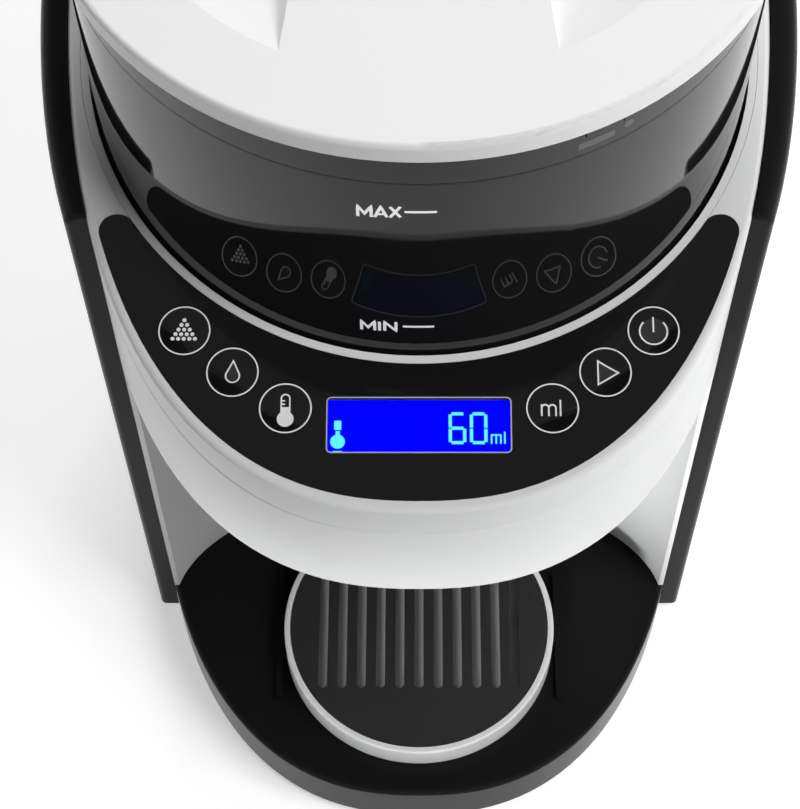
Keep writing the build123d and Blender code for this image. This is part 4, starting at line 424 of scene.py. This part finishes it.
def repeat(tree, points, shape, read, write):
    """Ends a tree: a copy of the shape on each point, as plain geometry in the tree's material."""
    instances = tree.nodes.new("GeometryNodeInstanceOnPoints")
    wire(tree, points, instances.inputs["Points"])
    wire(tree, shape, instances.inputs["Instance"])
    real = tree.nodes.new("GeometryNodeRealizeInstances")
    wire(tree, instances.outputs[0], real.inputs[0])
    finish = tree.nodes.new("GeometryNodeSetMaterial")
    wire(tree, real.outputs[0], finish.inputs["Geometry"])
    wire(tree, read.outputs["Material"], finish.inputs["Material"])
    wire(tree, finish.outputs[0], write.inputs[0])


def pyramid_tree(material):
    """Rows of dots, one more in each row down."""
    tree, read, write = node_tree("Dot pyramid", [
        ("Rows", "NodeSocketInt", 5), ("Dot radius", "NodeSocketFloat", 0.5 * MM),
        ("Across", "NodeSocketFloat", 1.42 * MM), ("Down", "NodeSocketFloat", 1.26 * MM),
        ("Material", "NodeSocketMaterial", material)])
    nodes = tree.nodes

    # the dots are counted 0, 1, 2... and the row of each comes from the triangular numbers
    def times(a, b):
        return maths(tree, "MULTIPLY", a, b)

    def less(a, b):
        return maths(tree, "SUBTRACT", a, b)

    def plus(a, b):
        return maths(tree, "ADD", a, b)

    rows = read.outputs["Rows"]
    points = nodes.new("GeometryNodePoints")
    wire(tree, times(times(rows, plus(rows, 1)), 0.5), points.inputs["Count"])
    index = nodes.new("GeometryNodeInputIndex").outputs[0]
    root = maths(tree, "SQRT", plus(times(index, 8), 1))
    row = maths(tree, "FLOOR", plus(times(less(root, 1), 0.5), 0.001))
    first = times(times(row, plus(row, 1)), 0.5)
    place = less(less(index, first), times(row, 0.5))
    middle = times(less(rows, 1), 0.5)
    combine = nodes.new("ShaderNodeCombineXYZ")
    wire(tree, times(place, read.outputs["Across"]), combine.inputs["X"])
    wire(tree, times(less(middle, row), read.outputs["Down"]), combine.inputs["Y"])
    wire(tree, combine.outputs[0], points.inputs["Position"])
    circle = nodes.new("GeometryNodeMeshCircle")
    circle.fill_type = "TRIANGLE_FAN"
    circle.inputs["Vertices"].default_value = 16
    wire(tree, read.outputs["Dot radius"], circle.inputs["Radius"])
    repeat(tree, points.outputs[0], circle.outputs["Mesh"], read, write)
    return tree


def ladder_tree(material):
    """A column of short level marks, spaced evenly upwards."""
    tree, read, write = node_tree("Level ladder", [
        ("Marks", "NodeSocketInt", 11), ("Spacing", "NodeSocketFloat", 18 * MM),
        ("Length", "NodeSocketFloat", 9 * MM), ("Thickness", "NodeSocketFloat", 0.7 * MM),
        ("Material", "NodeSocketMaterial", material)])
    combine = tree.nodes.new("ShaderNodeCombineXYZ")
    wire(tree, read.outputs["Spacing"], combine.inputs["Y"])
    line = tree.nodes.new("GeometryNodeMeshLine")
    wire(tree, read.outputs["Marks"], line.inputs["Count"])
    wire(tree, combine.outputs[0], line.inputs["Offset"])
    # a mark has enough points along it to follow the curved wall
    grid = tree.nodes.new("GeometryNodeMeshGrid")
    grid.inputs["Vertices X"].default_value = 13
    grid.inputs["Vertices Y"].default_value = 2
    wire(tree, read.outputs["Length"], grid.inputs["Size X"])
    wire(tree, read.outputs["Thickness"], grid.inputs["Size Y"])
    repeat(tree, line.outputs[0], grid.outputs["Mesh"], read, write)
    return tree


# ---------------------------------------------------------------- button symbols
# in millimetres from the button's centre
OVER = 0.004  # lift of a stroke that lies over another

DROP_TIP, DROP_CENTRE, DROP_RADIUS = (0.15, 3.15), (0.0, -0.85), 1.75
DROP_SHOULDER = asin(DROP_RADIUS / (DROP_TIP[1] - DROP_CENTRE[1]))  # where the sides leave the round
DROP = [DROP_TIP] + arc(DROP_CENTRE, DROP_RADIUS, pi - DROP_SHOULDER, 2 * pi + DROP_SHOULDER, 30)
START = [(-1.85, 3.05), (-1.85, -3.2), (3.25, -0.06)]
POWER_CENTRE, POWER_RADIUS, POWER_GAP = (0, -0.1), 3.5, radians(45)

# paler ground inside three of the symbols: outline and a point inside it
FIELDS = {
    "water_button": (DROP, (0.0, -0.6)),
    "start_button": (START, (-0.3, 0.0)),
    "power_button": (arc(POWER_CENTRE, POWER_RADIUS, 0, 2 * pi, 48)[:-1], POWER_CENTRE),
}


def button_place(name, lift):
    """Turns a point of a button's dished face into one of the frame."""
    u0, v0 = BUTTONS[name]

    def place(u, v, more=0.0):
        return on_top(u0 + u, v0 + v, dish_height(u, v) + lift + more)

    return place


def draw_drop(mesh, line, place):
    ribbon(mesh, DROP, line, place, closed=True)


def draw_thermometer(mesh, line, place):
    tube, tube_top, bulb, centre = 1.08, 2.65, 1.92, (0.0, -2.75)
    side = asin(tube / bulb)
    outline = arc((0, tube_top), tube, 0, pi, 16) + arc(centre, bulb, pi / 2 + side, 5 * pi / 2 - side, 36)
    ribbon(mesh, outline, line, place, closed=True)
    liquid_low, liquid_high = -1.6, 0.45
    patch(mesh, (-tube, liquid_low), (tube, liquid_high), place, 0.5)
    disc(mesh, centre, bulb, lambda u, v: place(u, v, OVER), 32)
    for height in (2.1, 1.2):
        ribbon(mesh, [(-tube, height), (-0.1, height)], line, place)


def draw_volume(mesh, line, place):
    line *= 1.15
    left, base, stem_top, arch_low, arch_middle, pitch = -2.72, -1.95, 1.15, -0.35, 0.16, 1.78
    ribbon(mesh, [(left, base), (left, stem_top)], line, place)
    for step in (0, 1):
        x = left + pitch * step
        curve = arc((x + pitch / 2, arch_middle), pitch / 2, pi, 0, 14)
        ribbon(mesh, [(x, arch_low)] + curve + [(x + pitch, base)], line,
               lambda u, v: place(u, v, OVER * (step + 1)))
    ell, ell_top = 1.98, 2.3
    ribbon(mesh, [(ell, base), (ell, ell_top)], line, place)


def draw_start(mesh, line, place):
    ribbon(mesh, START, line * 1.1, place, closed=True)


def draw_power(mesh, line, place):
    line *= 1.15
    ring = arc(POWER_CENTRE, POWER_RADIUS, pi / 2 + POWER_GAP, 5 * pi / 2 - POWER_GAP, 40)
    ribbon(mesh, ring, line, place)
    bar_low, bar_high = -0.25, 3.8
    ribbon(mesh, [(0, bar_high), (0, bar_low)], line, place)


SYMBOLS = {
    "water_button": draw_drop,
    "temperature_button": draw_thermometer,
    "volume_button": draw_volume,
    "start_button": draw_start,
    "power_button": draw_power,
}


def fill(mesh, outline, centre, place, rings=6):
    """Fills an outline in rings round a point inside it, so that it follows a curved face."""
    path = split_path(outline, True, 0.5)
    middle = mesh.verts.new(place(*centre))
    inner = None
    for ring in range(1, rings + 1):
        rim = [mesh.verts.new(place(centre[0] + (x - centre[0]) * ring / rings,
                                    centre[1] + (y - centre[1]) * ring / rings)) for x, y in path]
        for i, corner in enumerate(rim):
            j = (i + 1) % len(rim)
            mesh.faces.new((inner[i], corner, rim[j], inner[j]) if inner else (middle, corner, rim[j]))
        inner = rim


# ---------------------------------------------------------------- operators
class FORMULA_OT_finishes(bpy.types.Operator):
    """Gives every moulded piece its plastic, metal or rubber"""

    bl_idname = "formula.finishes"
    bl_label = "Finishes"

    def execute(self, context):
        colours = context.scene.formula_colours
        white = moulded("White housing", colours.shell, 0.3, 0.36, grain=0.03, tone=0.985)
        lid = moulded("White lid", colours.lid, 0.37, 0.39, grain=0.02, tone=0.99)
        gloss = moulded("Gloss black", colours.gloss, 0.06, 0.1, ior=1.42, tone=0.8)
        shell = moulded("Black housing", (0.008, 0.008, 0.0085), 0.18, 0.24, grain=0.02, ior=1.16, tone=0.85)
        cap = moulded("Button black", colours.gloss, 0.04, 0.07, ior=1.45, tone=0.8)
        smoke = moulded("Smoke plastic", colours.smoke, 0.03, 0.06, ior=1.34, tone=0.9)
        black = moulded("Matt black plastic", (0.018, 0.018, 0.019), 0.42, 0.6, grain=0.4, grain_scale=1500.0)
        grey = moulded("Grey plastic", (0.2, 0.205, 0.21), 0.4, 0.55, grain=0.3)
        natural = moulded("Natural plastic", (0.66, 0.67, 0.66), 0.35, 0.5, grain=0.2)
        tank = moulded("Tank plastic", (0.5, 0.52, 0.55), 0.03, 0.08, ior=1.36, tone=0.96, transmission=1.0)
        clear = moulded("Clear plastic", (0.9, 0.93, 0.95), 0.05, 0.12, ior=1.45, transmission=0.9)
        rubber = moulded("Rubber", (0.02, 0.02, 0.02), 0.6, 0.8, grain=0.5, grain_scale=900.0)
        silicone = moulded("Silicone", (0.7, 0.7, 0.67), 0.4, 0.55)
        steel = moulded("Brushed steel", (0.6, 0.6, 0.61), 0.22, 0.42, metal=1.0, brushed=True)
        board = moulded("Circuit board", (0.02, 0.12, 0.05), 0.3, 0.45, tone=0.8)
        chips = moulded("Chip bodies", (0.02, 0.02, 0.022), 0.35, 0.5, grain=0.3)
        glass = moulded("Display window", (0.97, 0.97, 1.0), 0.0, 0.03, ior=1.12, transmission=1.0, tone=0.99)
        back = lit("Display back", colours.screen, 0.6)
        for material, names in (
            (white, ("front_shell", "head_shell", "top_cover", "container_seat", "funnel_rails",
                     "bottle_stand")),
            (lid, ("container_lid",)),
            (gloss, ("recess_liner", "control_panel")),
            (shell, ("body_shell", "base_shell", "tank_lid")),
            (cap, tuple(BUTTONS)),
            (smoke, ("powder_container",)),
            (tank, ("water_tank",)),
            (black, ("base_plate", "container_base", "cord_gland", "water_pump", "drip_grid")),
            (grey, ("tank_socket",)),
            (natural, ("powder_chute", "water_nozzle", "powder_scraper", "powder_wheel", "stirring_wheel",
                       "wheel_coupler", "drive_gear", "motor_pinion", "valve_cage", "tank_valve")),
            (clear, ("mixing_funnel", "funnel_cover")),
            (rubber, ("rubber_feet",)),
            (silicone, ("lid_seal", "socket_seal", "valve_seal", "inlet_hose", "pump_hose", "nozzle_hose")),
            (steel, ("base_screws", "head_screws", "motor_screws", "gear_shaft", "gear_motor", "tank_hinge_pin",
                     "water_heater")),
            (board, ("control_board", "main_board")),
            (chips, ("tact_switches", "board_components")),
            (glass, ("display_window",)),
            (back, ("lcd_module",)),
        ):
            paint(names, material)
        return {"FINISHED"}


class FORMULA_OT_buttons(bpy.types.Operator):
    """Draws the ring and the symbol of each button on its dished face"""

    bl_idname = "formula.buttons"
    bl_label = "Button rings and symbols"

    def execute(self, context):
        sizes, colours = context.scene.formula_sizes, context.scene.formula_colours
        ink = moulded("Symbol print", colours.print_white, 0.35, 0.5)
        ring = moulded("Ring print", colours.print_white, 0.25, 0.4)
        lift, line = sizes.print_lift / MM, sizes.symbol_line / MM
        width = sizes.ring_width / MM
        circle = arc((0, 0), BUTTON_RADIUS - 0.03 - width / 2, 0, 2 * pi, 96)[:-1]
        for name in BUTTONS:
            mesh = bmesh.new()
            ribbon(mesh, circle, width, button_place(name, lift), closed=True)
            make_piece(name.replace("button", "ring"), mesh, ring, name)
        field = moulded("Symbol ground", (0.03, 0.03, 0.031), 0.2, 0.3)
        for name, (outline, centre) in FIELDS.items():
            mesh = bmesh.new()
            fill(mesh, outline, centre, button_place(name, lift * 0.4))
            make_piece(name.replace("button", "ground"), mesh, field, name)
        for name, draw in SYMBOLS.items():
            mesh = bmesh.new()
            draw(mesh, line, button_place(name, lift))
            make_piece(name.replace("button", "symbol"), mesh, ink, name)
        place = button_place("powder_button", lift)
        aside, up = -0.12, 0.45  # the dots' middle, from the button's
        bake_tree("powder_symbol", pyramid_tree(ink), {"Dot radius": 0.53 * MM},
                  lambda u, v: place(u + aside, v + up), "powder_button")
        return {"FINISHED"}


def on_display(depth):
    """Turns a point of the display, from its centre, into one of the frame at this depth under the top."""
    return lambda u, v: on_top(DISPLAY_U + u, DISPLAY_V + v, -depth)


SEGMENTS = {
    "a": ((0, 1), (1, 1)),
    "b": ((1, 1), (1, 0.5)),
    "c": ((1, 0.5), (1, 0)),
    "d": ((0, 0), (1, 0)),
    "e": ((0, 0.5), (0, 0)),
    "f": ((0, 1), (0, 0.5)),
    "g": ((0, 0.5), (1, 0.5)),
}
FIGURE_DEPTH = SCREEN_DEPTH - 0.1
FLAT_STEP = 5  # the screen is flat, so its lines need no points between


def draw_digit(mesh, left, segments):
    """A seven-segment figure; small gaps part its segments."""
    wide, tall, low, gap, line = 3.6, 7.6, -4.2, 0.3, 0.85
    for key in segments:
        (x1, y1), (x2, y2) = SEGMENTS[key]
        dx, dy = (x2 - x1) * gap / wide, (y2 - y1) * gap / tall
        start = (left + (x1 + dx) * wide, low + (y1 + dy) * tall)
        end = (left + (x2 - dx) * wide, low + (y2 - dy) * tall)
        ribbon(mesh, [start, end], line, on_display(FIGURE_DEPTH), step=FLAT_STEP)


def draw_unit(mesh):
    """The letters ml beside the figures."""
    left, low, high, pitch, line = 18.1, -4.5, -2.2, 1.15, 0.42
    ell, ell_top = left + 3.3, high + 0.9
    face = on_display(FIGURE_DEPTH)
    for step in range(3):
        ribbon(mesh, [(left + pitch * step, low), (left + pitch * step, high)], line, face, step=FLAT_STEP)
    ribbon(mesh, [(left - 0.2, high), (left + 2 * pitch + 0.2, high)], line, on_display(FIGURE_DEPTH - 0.01),
           step=FLAT_STEP)
    ribbon(mesh, [(ell, low), (ell, ell_top)], line, face, step=FLAT_STEP)


def draw_display_thermometer(mesh):
    """Top block, neck, bulb and the line under them."""
    left = -DISPLAY_WIDTH / 2
    stem = left + 2.7
    face = on_display(FIGURE_DEPTH)
    patch(mesh, (left + 1.8, -0.85), (left + 3.6, 1.6), face, FLAT_STEP)
    ribbon(mesh, [(stem, -1.15), (stem, -3.0)], 1.1, face, step=FLAT_STEP)
    disc(mesh, (stem, -3.95), 1.85, on_display(FIGURE_DEPTH - 0.02), 28)
    ribbon(mesh, [(left + 1.5, -6.55), (left + 3.9, -6.55)], 0.3, face, step=FLAT_STEP)


class FORMULA_OT_display(bpy.types.Operator):
    """Makes the lit screen, its figures and the thin frame round the window"""

    bl_idname = "formula.display"
    bl_label = "Display"

    def execute(self, context):
        colours = context.scene.formula_colours
        screen = lit("Screen", colours.screen, 1.0)
        figures = lit("Figures", colours.digits, 1.0)
        frame_print = moulded("Display frame", (0.5, 0.52, 0.56), 0.3, 0.45)
        half_width, half_height, border = DISPLAY_WIDTH / 2, DISPLAY_HEIGHT / 2, 0.2
        mesh = bmesh.new()
        patch(mesh, (-half_width + border, -half_height + border), (half_width - border, half_height - border),
              on_display(SCREEN_DEPTH), 50)
        make_piece("display_screen", mesh, screen, "machine")

        mesh = bmesh.new()
        draw_digit(mesh, 7.8, "acdefg")
        draw_digit(mesh, 13.1, "abcdef")
        draw_unit(mesh)
        draw_display_thermometer(mesh)
        make_piece("display_figures", mesh, figures, "machine")

        mesh = bmesh.new()
        right, top = half_width - DISPLAY_CORNER, half_height - DISPLAY_CORNER
        outline = []
        for quarter, centre in enumerate(((right, top), (-right, top), (-right, -top), (right, -top))):
            start = quarter * pi / 2
            outline += arc(centre, DISPLAY_CORNER, start, start + pi / 2, 8)
        ribbon(mesh, outline, 0.32, on_display(-0.03), closed=True, step=60)
        make_piece("display_frame", mesh, frame_print, "machine")
        return {"FINISHED"}


# ---------------------------------------------------------------- level marks
# strokes of each letter in a unit square
LETTERS = {
    "M": [[(0, 0), (0, 1), (0.5, 0.3), (1, 1), (1, 0)]],
    "A": [[(0, 0), (0.5, 1), (1, 0)], [(0.22, 0.3), (0.78, 0.3)]],
    "X": [[(0, 0), (1, 1)], [(0, 1), (1, 0)]],
    "I": [[(0, 0), (0, 1)]],
    "N": [[(0, 0), (0, 1), (1, 0), (1, 1)]],
}
# left edge and width of each letter, then the ends of the line beside them, along the wall
MAX_MARK = (((-14.0, 3.1), (-10.1, 2.8), (-6.6, 2.4)), (-3.3, 4.1))
MIN_MARK = (((-14.3, 3.3), (-9.8, 0.0), (-8.5, 2.8)), (-4.0, 3.75))
LETTER_CLIMB = 0.1  # the letters climb a little towards their line
LETTER_LINE = 0.9  # their strokes, as a share of that line's width
CATCH_LEFT, CATCH_RIGHT, CATCH_LOW, CATCH_HIGH = 36.5, 45.8, 2.6, 5.0  # over the lid's skirt edge
DOT_PLACE, DOT_HEIGHT, DOT_RADIUS = 49.6, 4.6, 1.3


def container_wall(lift):
    """Turns a way round the container from its front, and a height, into a point on its wall."""

    def place(u, v, more=0.0):
        angle, radius = u / CONTAINER_RADIUS, CONTAINER_RADIUS + lift + more
        return Vector((radius * sin(angle), AXIS_Y - radius * cos(angle), v)) * MM

    return place


def tank_wall(u, v):
    """The same for the tank's back wall, seen from behind, from the foot of its level marks."""
    across = TANK_MARKS_X - u
    back = OVAL_HALF_LENGTH * (1 - abs(across / OVAL_HALF_WIDTH) ** OVAL_POWER) ** (1 / OVAL_POWER)
    return Vector((across, back + 0.05, TANK_MARKS_Z + v)) * MM


class FORMULA_OT_levels(bpy.types.Operator):
    """Prints the two powder levels on the container's wall and the level ladder on the water tank, both with a
    painted glow
    """

    bl_idname = "formula.levels"
    bl_label = "Level marks"

    def execute(self, context):
        sizes, colours = context.scene.formula_sizes, context.scene.formula_colours
        # the powder levels and the tank's ladder share this print, which has a painted glow: a faint white
        # emission that lightens them beyond what the lamps give
        ink = moulded("Level print with painted glow", colours.print_white, 0.35, 0.5, glow=0.3)
        wall = container_wall(sizes.print_lift / MM)
        height, line = sizes.mark_height / MM, sizes.mark_line / MM
        for word, level, (places, (start, end)) in (("MAX", sizes.max_level / MM, MAX_MARK),
                                                    ("MIN", sizes.min_level / MM, MIN_MARK)):
            mesh = bmesh.new()
            for letter, (left, wide) in zip(word, places):
                for order, stroke in enumerate(LETTERS[letter]):
                    path = [(left + x * wide,
                             level + (y - 0.5) * (height - line) + LETTER_CLIMB * (left + x * wide - start))
                            for x, y in stroke]
                    ribbon(mesh, path, line * LETTER_LINE, lambda u, v: wall(u, v, 0.003 * order), step=0.8)
            patch(mesh, (start, level - line / 2), (end, level + line / 2), wall, 1.0)
            make_piece(f"level_{word.lower()}", mesh, ink, "container")

        # lid's skirt edge, catch and closing mark, seen faintly through the tinted wall
        faint = moulded("Faint mark", (0.05, 0.05, 0.05), 0.1, 0.16, tone=0.8)
        dark = moulded("Skirt edge", (0.005, 0.005, 0.005), 0.06, 0.1, ior=1.27)
        skirt = sizes.lid_skirt / MM
        around = CONTAINER_RADIUS * radians(150)
        mesh = bmesh.new()
        ribbon(mesh, [(-around, skirt), (around, skirt)], line * 0.7, wall, step=1.5)
        make_piece("skirt_edge", mesh, dark, "container", smooth=True)
        mesh = bmesh.new()
        patch(mesh, (CATCH_LEFT, skirt + CATCH_LOW), (CATCH_RIGHT, skirt + CATCH_HIGH), wall, 0.8)
        disc(mesh, (DOT_PLACE, skirt + DOT_HEIGHT), DOT_RADIUS, wall)
        make_piece("closing_mark", mesh, faint, "container")

        bake_tree("tank_levels", ladder_tree(ink), {"Marks": sizes.tank_steps}, tank_wall, "tank")
        return {"FINISHED"}


class FORMULA_OT_spring(bpy.types.Operator):
    """Makes the outlet valve's spring as a smooth piece on the tank, from its CAD part"""

    bl_idname = "formula.spring"
    bl_label = "Valve spring"

    def execute(self, context):
        steel = moulded("Spring steel", (0.6, 0.6, 0.61), 0.2, 0.32, metal=1.0, brushed=True)
        coil = bmesh.new()
        coil.from_mesh(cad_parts["valve_spring"].data)
        bmesh.ops.remove_doubles(coil, verts=coil.verts, dist=0.001 * MM)
        spring = make_piece("outlet_spring", coil, steel, "tank", smooth=True)
        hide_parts("valve_spring")
        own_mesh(spring)
        return {"FINISHED"}


# ---------------------------------------------------------------- studio
# each square lamp's place in metres and its power in watts
LAMPS = {
    "key": ((0.9, -0.631, 1.5), 21.0),
    "back": ((0.0, 1.269, 1.4), 19.5),
    "right": ((1.5, -0.381, 0.75), 4.6),
    "left": ((-1.5, -0.331, 0.8), 3.1),
}
LAMP_SIZE = 0.8
LAMP_AIM = (0.0, -0.111, 0.25)
BEAM_PLACE, BEAM_AIM, BEAM_POWER, BEAM_ANGLE = (-0.45, -0.78, 0.1), (0.08, -0.06, 0.12), 30.0, radians(15)

CAMERA_BACK, CAMERA_UP, CAMERA_TILT = -0.3589, 0.6968, radians(29.47)  # back from the container's axis
SENSOR_WIDTH = 36.0
FRAME_HEIGHT, FOCAL_PIXELS, SHIFT_PIXELS = 809.0, 2098.0, -19.0


def seen_ray(tree):
    """A mask that is 1 for camera, glossy and transmission rays."""
    path = tree.nodes.new("ShaderNodeLightPath")
    seen = path.outputs["Is Camera Ray"]
    for name in ("Is Glossy Ray", "Is Transmission Ray"):
        seen = maths(tree, "MAXIMUM", seen, path.outputs[name])
    return seen


def make_world(scene):
    """White to look at, dim as a light, and darker overhead in reflections."""
    world = bpy.data.worlds.new("Studio")
    scene.world = world
    world.use_nodes = True
    tree = world.node_tree
    tree.nodes.clear()
    soft = tree.nodes.new("ShaderNodeBackground")
    soft.inputs["Color"].default_value = WHITE
    soft.inputs["Strength"].default_value = 0.02
    bright = tree.nodes.new("ShaderNodeBackground")
    bright.inputs["Strength"].default_value = 1.0
    ramp = tree.nodes.new("ShaderNodeValToRGB")
    coordinates = tree.nodes.new("ShaderNodeTexCoord")
    split = tree.nodes.new("ShaderNodeSeparateXYZ")
    wire(tree, coordinates.outputs["Generated"], split.inputs[0])
    wire(tree, split.outputs["Z"], ramp.inputs["Fac"])
    low, high = ramp.color_ramp.elements
    low.position, low.color = 0.35, WHITE
    high.position, high.color = 0.95, (0.3, 0.3, 0.3, 1.0)
    sky = tree.nodes.new("ShaderNodeMix")
    sky.data_type = "RGBA"
    sky.inputs[MIX_A].default_value = WHITE
    wire(tree, tree.nodes.new("ShaderNodeLightPath").outputs["Is Glossy Ray"], sky.inputs[MIX_SHARE])
    wire(tree, ramp.outputs["Color"], sky.inputs[MIX_B])
    wire(tree, sky.outputs[MIX_COLOUR], bright.inputs["Color"])
    mix = tree.nodes.new("ShaderNodeMixShader")
    output = tree.nodes.new("ShaderNodeOutputWorld")
    wire(tree, seen_ray(tree), mix.inputs[0])
    wire(tree, soft.outputs[0], mix.inputs[1])
    wire(tree, bright.outputs[0], mix.inputs[2])
    wire(tree, mix.outputs[0], output.inputs["Surface"])


def floor_paper():
    """Pale paper, which brightens away from the machine, where the lamps no longer reach."""
    paper, tree, shader = new_material("Floor paper")
    shader.inputs["Base Color"].default_value = (0.82, 0.82, 0.82, 1.0)
    shader.inputs["Roughness"].default_value = 0.9
    shader.inputs["Specular IOR Level"].default_value = 0.1
    coordinates = tree.nodes.new("ShaderNodeTexCoord")
    reach = tree.nodes.new("ShaderNodeVectorMath")
    reach.operation = "LENGTH"
    wire(tree, coordinates.outputs["Object"], reach.inputs[0])
    lift = remap(tree, reach.outputs["Value"], 0.45, 1.6, 0.5, 1.0)
    glow = tree.nodes.new("ShaderNodeEmission")
    wire(tree, maths(tree, "MULTIPLY", seen_ray(tree), lift), glow.inputs["Strength"])
    both = tree.nodes.new("ShaderNodeAddShader")
    wire(tree, shader.outputs[0], both.inputs[0])
    wire(tree, glow.outputs[0], both.inputs[1])
    wire(tree, both.outputs[0], tree.nodes["Material Output"].inputs["Surface"])
    return paper


def make_floor(scene):
    mesh = bmesh.new()
    bmesh.ops.create_grid(mesh, x_segments=1, y_segments=1, size=6.0)
    data = bpy.data.meshes.new("floor")
    mesh.to_mesh(data)
    mesh.free()
    floor = bpy.data.objects.new("floor", data)
    scene.collection.objects.link(floor)
    data.materials.append(floor_paper())


def place_lamp(scene, lamp, place, aim):
    """Hangs a lamp that reflections don't show."""
    holder = bpy.data.objects.new(lamp.name, lamp)
    holder.location = place
    holder.rotation_euler = (Vector(aim) - Vector(place)).to_track_quat("-Z", "Y").to_euler()
    holder.visible_glossy = False
    scene.collection.objects.link(holder)


def make_lamps(scene):
    for name, (place, power) in LAMPS.items():
        lamp = bpy.data.lights.new(name, "AREA")
        lamp.shape = "SQUARE"
        lamp.size = LAMP_SIZE
        lamp.energy = power
        place_lamp(scene, lamp, place, LAMP_AIM)
    # a low beam under the head, on the inside of the right pillar
    beam = bpy.data.lights.new("beam", "SPOT")
    beam.energy = BEAM_POWER
    beam.spot_size = BEAM_ANGLE
    beam.spot_blend = 0.7
    beam.shadow_soft_size = 0.05
    place_lamp(scene, beam, BEAM_PLACE, BEAM_AIM)


def make_camera(scene):
    lens = bpy.data.cameras.new("camera")
    lens.sensor_width = SENSOR_WIDTH
    lens.lens = FOCAL_PIXELS / FRAME_HEIGHT * SENSOR_WIDTH
    lens.shift_x = SHIFT_PIXELS / FRAME_HEIGHT
    lens.clip_start = 0.05
    camera = bpy.data.objects.new("camera", lens)
    camera.location = (0.0, CAMERA_BACK + AXIS_Y * MM, CAMERA_UP)
    camera.rotation_euler = (CAMERA_TILT, 0.0, 0.0)
    scene.collection.objects.link(camera)
    scene.camera = camera


class FORMULA_OT_studio(bpy.types.Operator):
    """Sets up the world, the floor, the lamps and the camera"""

    bl_idname = "formula.studio"
    bl_label = "Studio"

    def execute(self, context):
        context.scene.view_settings.view_transform = "Standard"
        make_world(context.scene)
        make_floor(context.scene)
        make_lamps(context.scene)
        make_camera(context.scene)
        return {"FINISHED"}


class FORMULA_PT_looks(bpy.types.Panel):
    """Sizes, colours and makers of the formula maker's looks"""

    bl_idname = "FORMULA_PT_looks"
    bl_label = "Formula maker"
    bl_space_type = "VIEW_3D"
    bl_region_type = "UI"
    bl_category = "Formula"

    def draw(self, context):
        layout = self.layout
        for group in (context.scene.formula_sizes, context.scene.formula_colours):
            box = layout.box()
            for key in group.__annotations__:
                box.prop(group, key)
        for operator in OPERATORS:
            layout.operator(operator.bl_idname)


OPERATORS = (
    FORMULA_OT_studio,
    FORMULA_OT_finishes,
    FORMULA_OT_buttons,
    FORMULA_OT_display,
    FORMULA_OT_levels,
    FORMULA_OT_spring,
)
CLASSES = (FormulaSizes, FormulaColours, *OPERATORS, FORMULA_PT_looks)


def register():
    for made in CLASSES:
        bpy.utils.register_class(made)
    bpy.types.Scene.formula_sizes = PointerProperty(type=FormulaSizes)
    bpy.types.Scene.formula_colours = PointerProperty(type=FormulaColours)


def unregister():
    del bpy.types.Scene.formula_colours
    del bpy.types.Scene.formula_sizes
    for made in reversed(CLASSES):
        bpy.utils.unregister_class(made)


def main():
    register()
    bpy.ops.formula.studio()
    bpy.ops.formula.finishes()
    bpy.ops.formula.buttons()
    bpy.ops.formula.display()
    bpy.ops.formula.levels()
    bpy.ops.formula.spring()


if __name__ == "__main__":
    main()
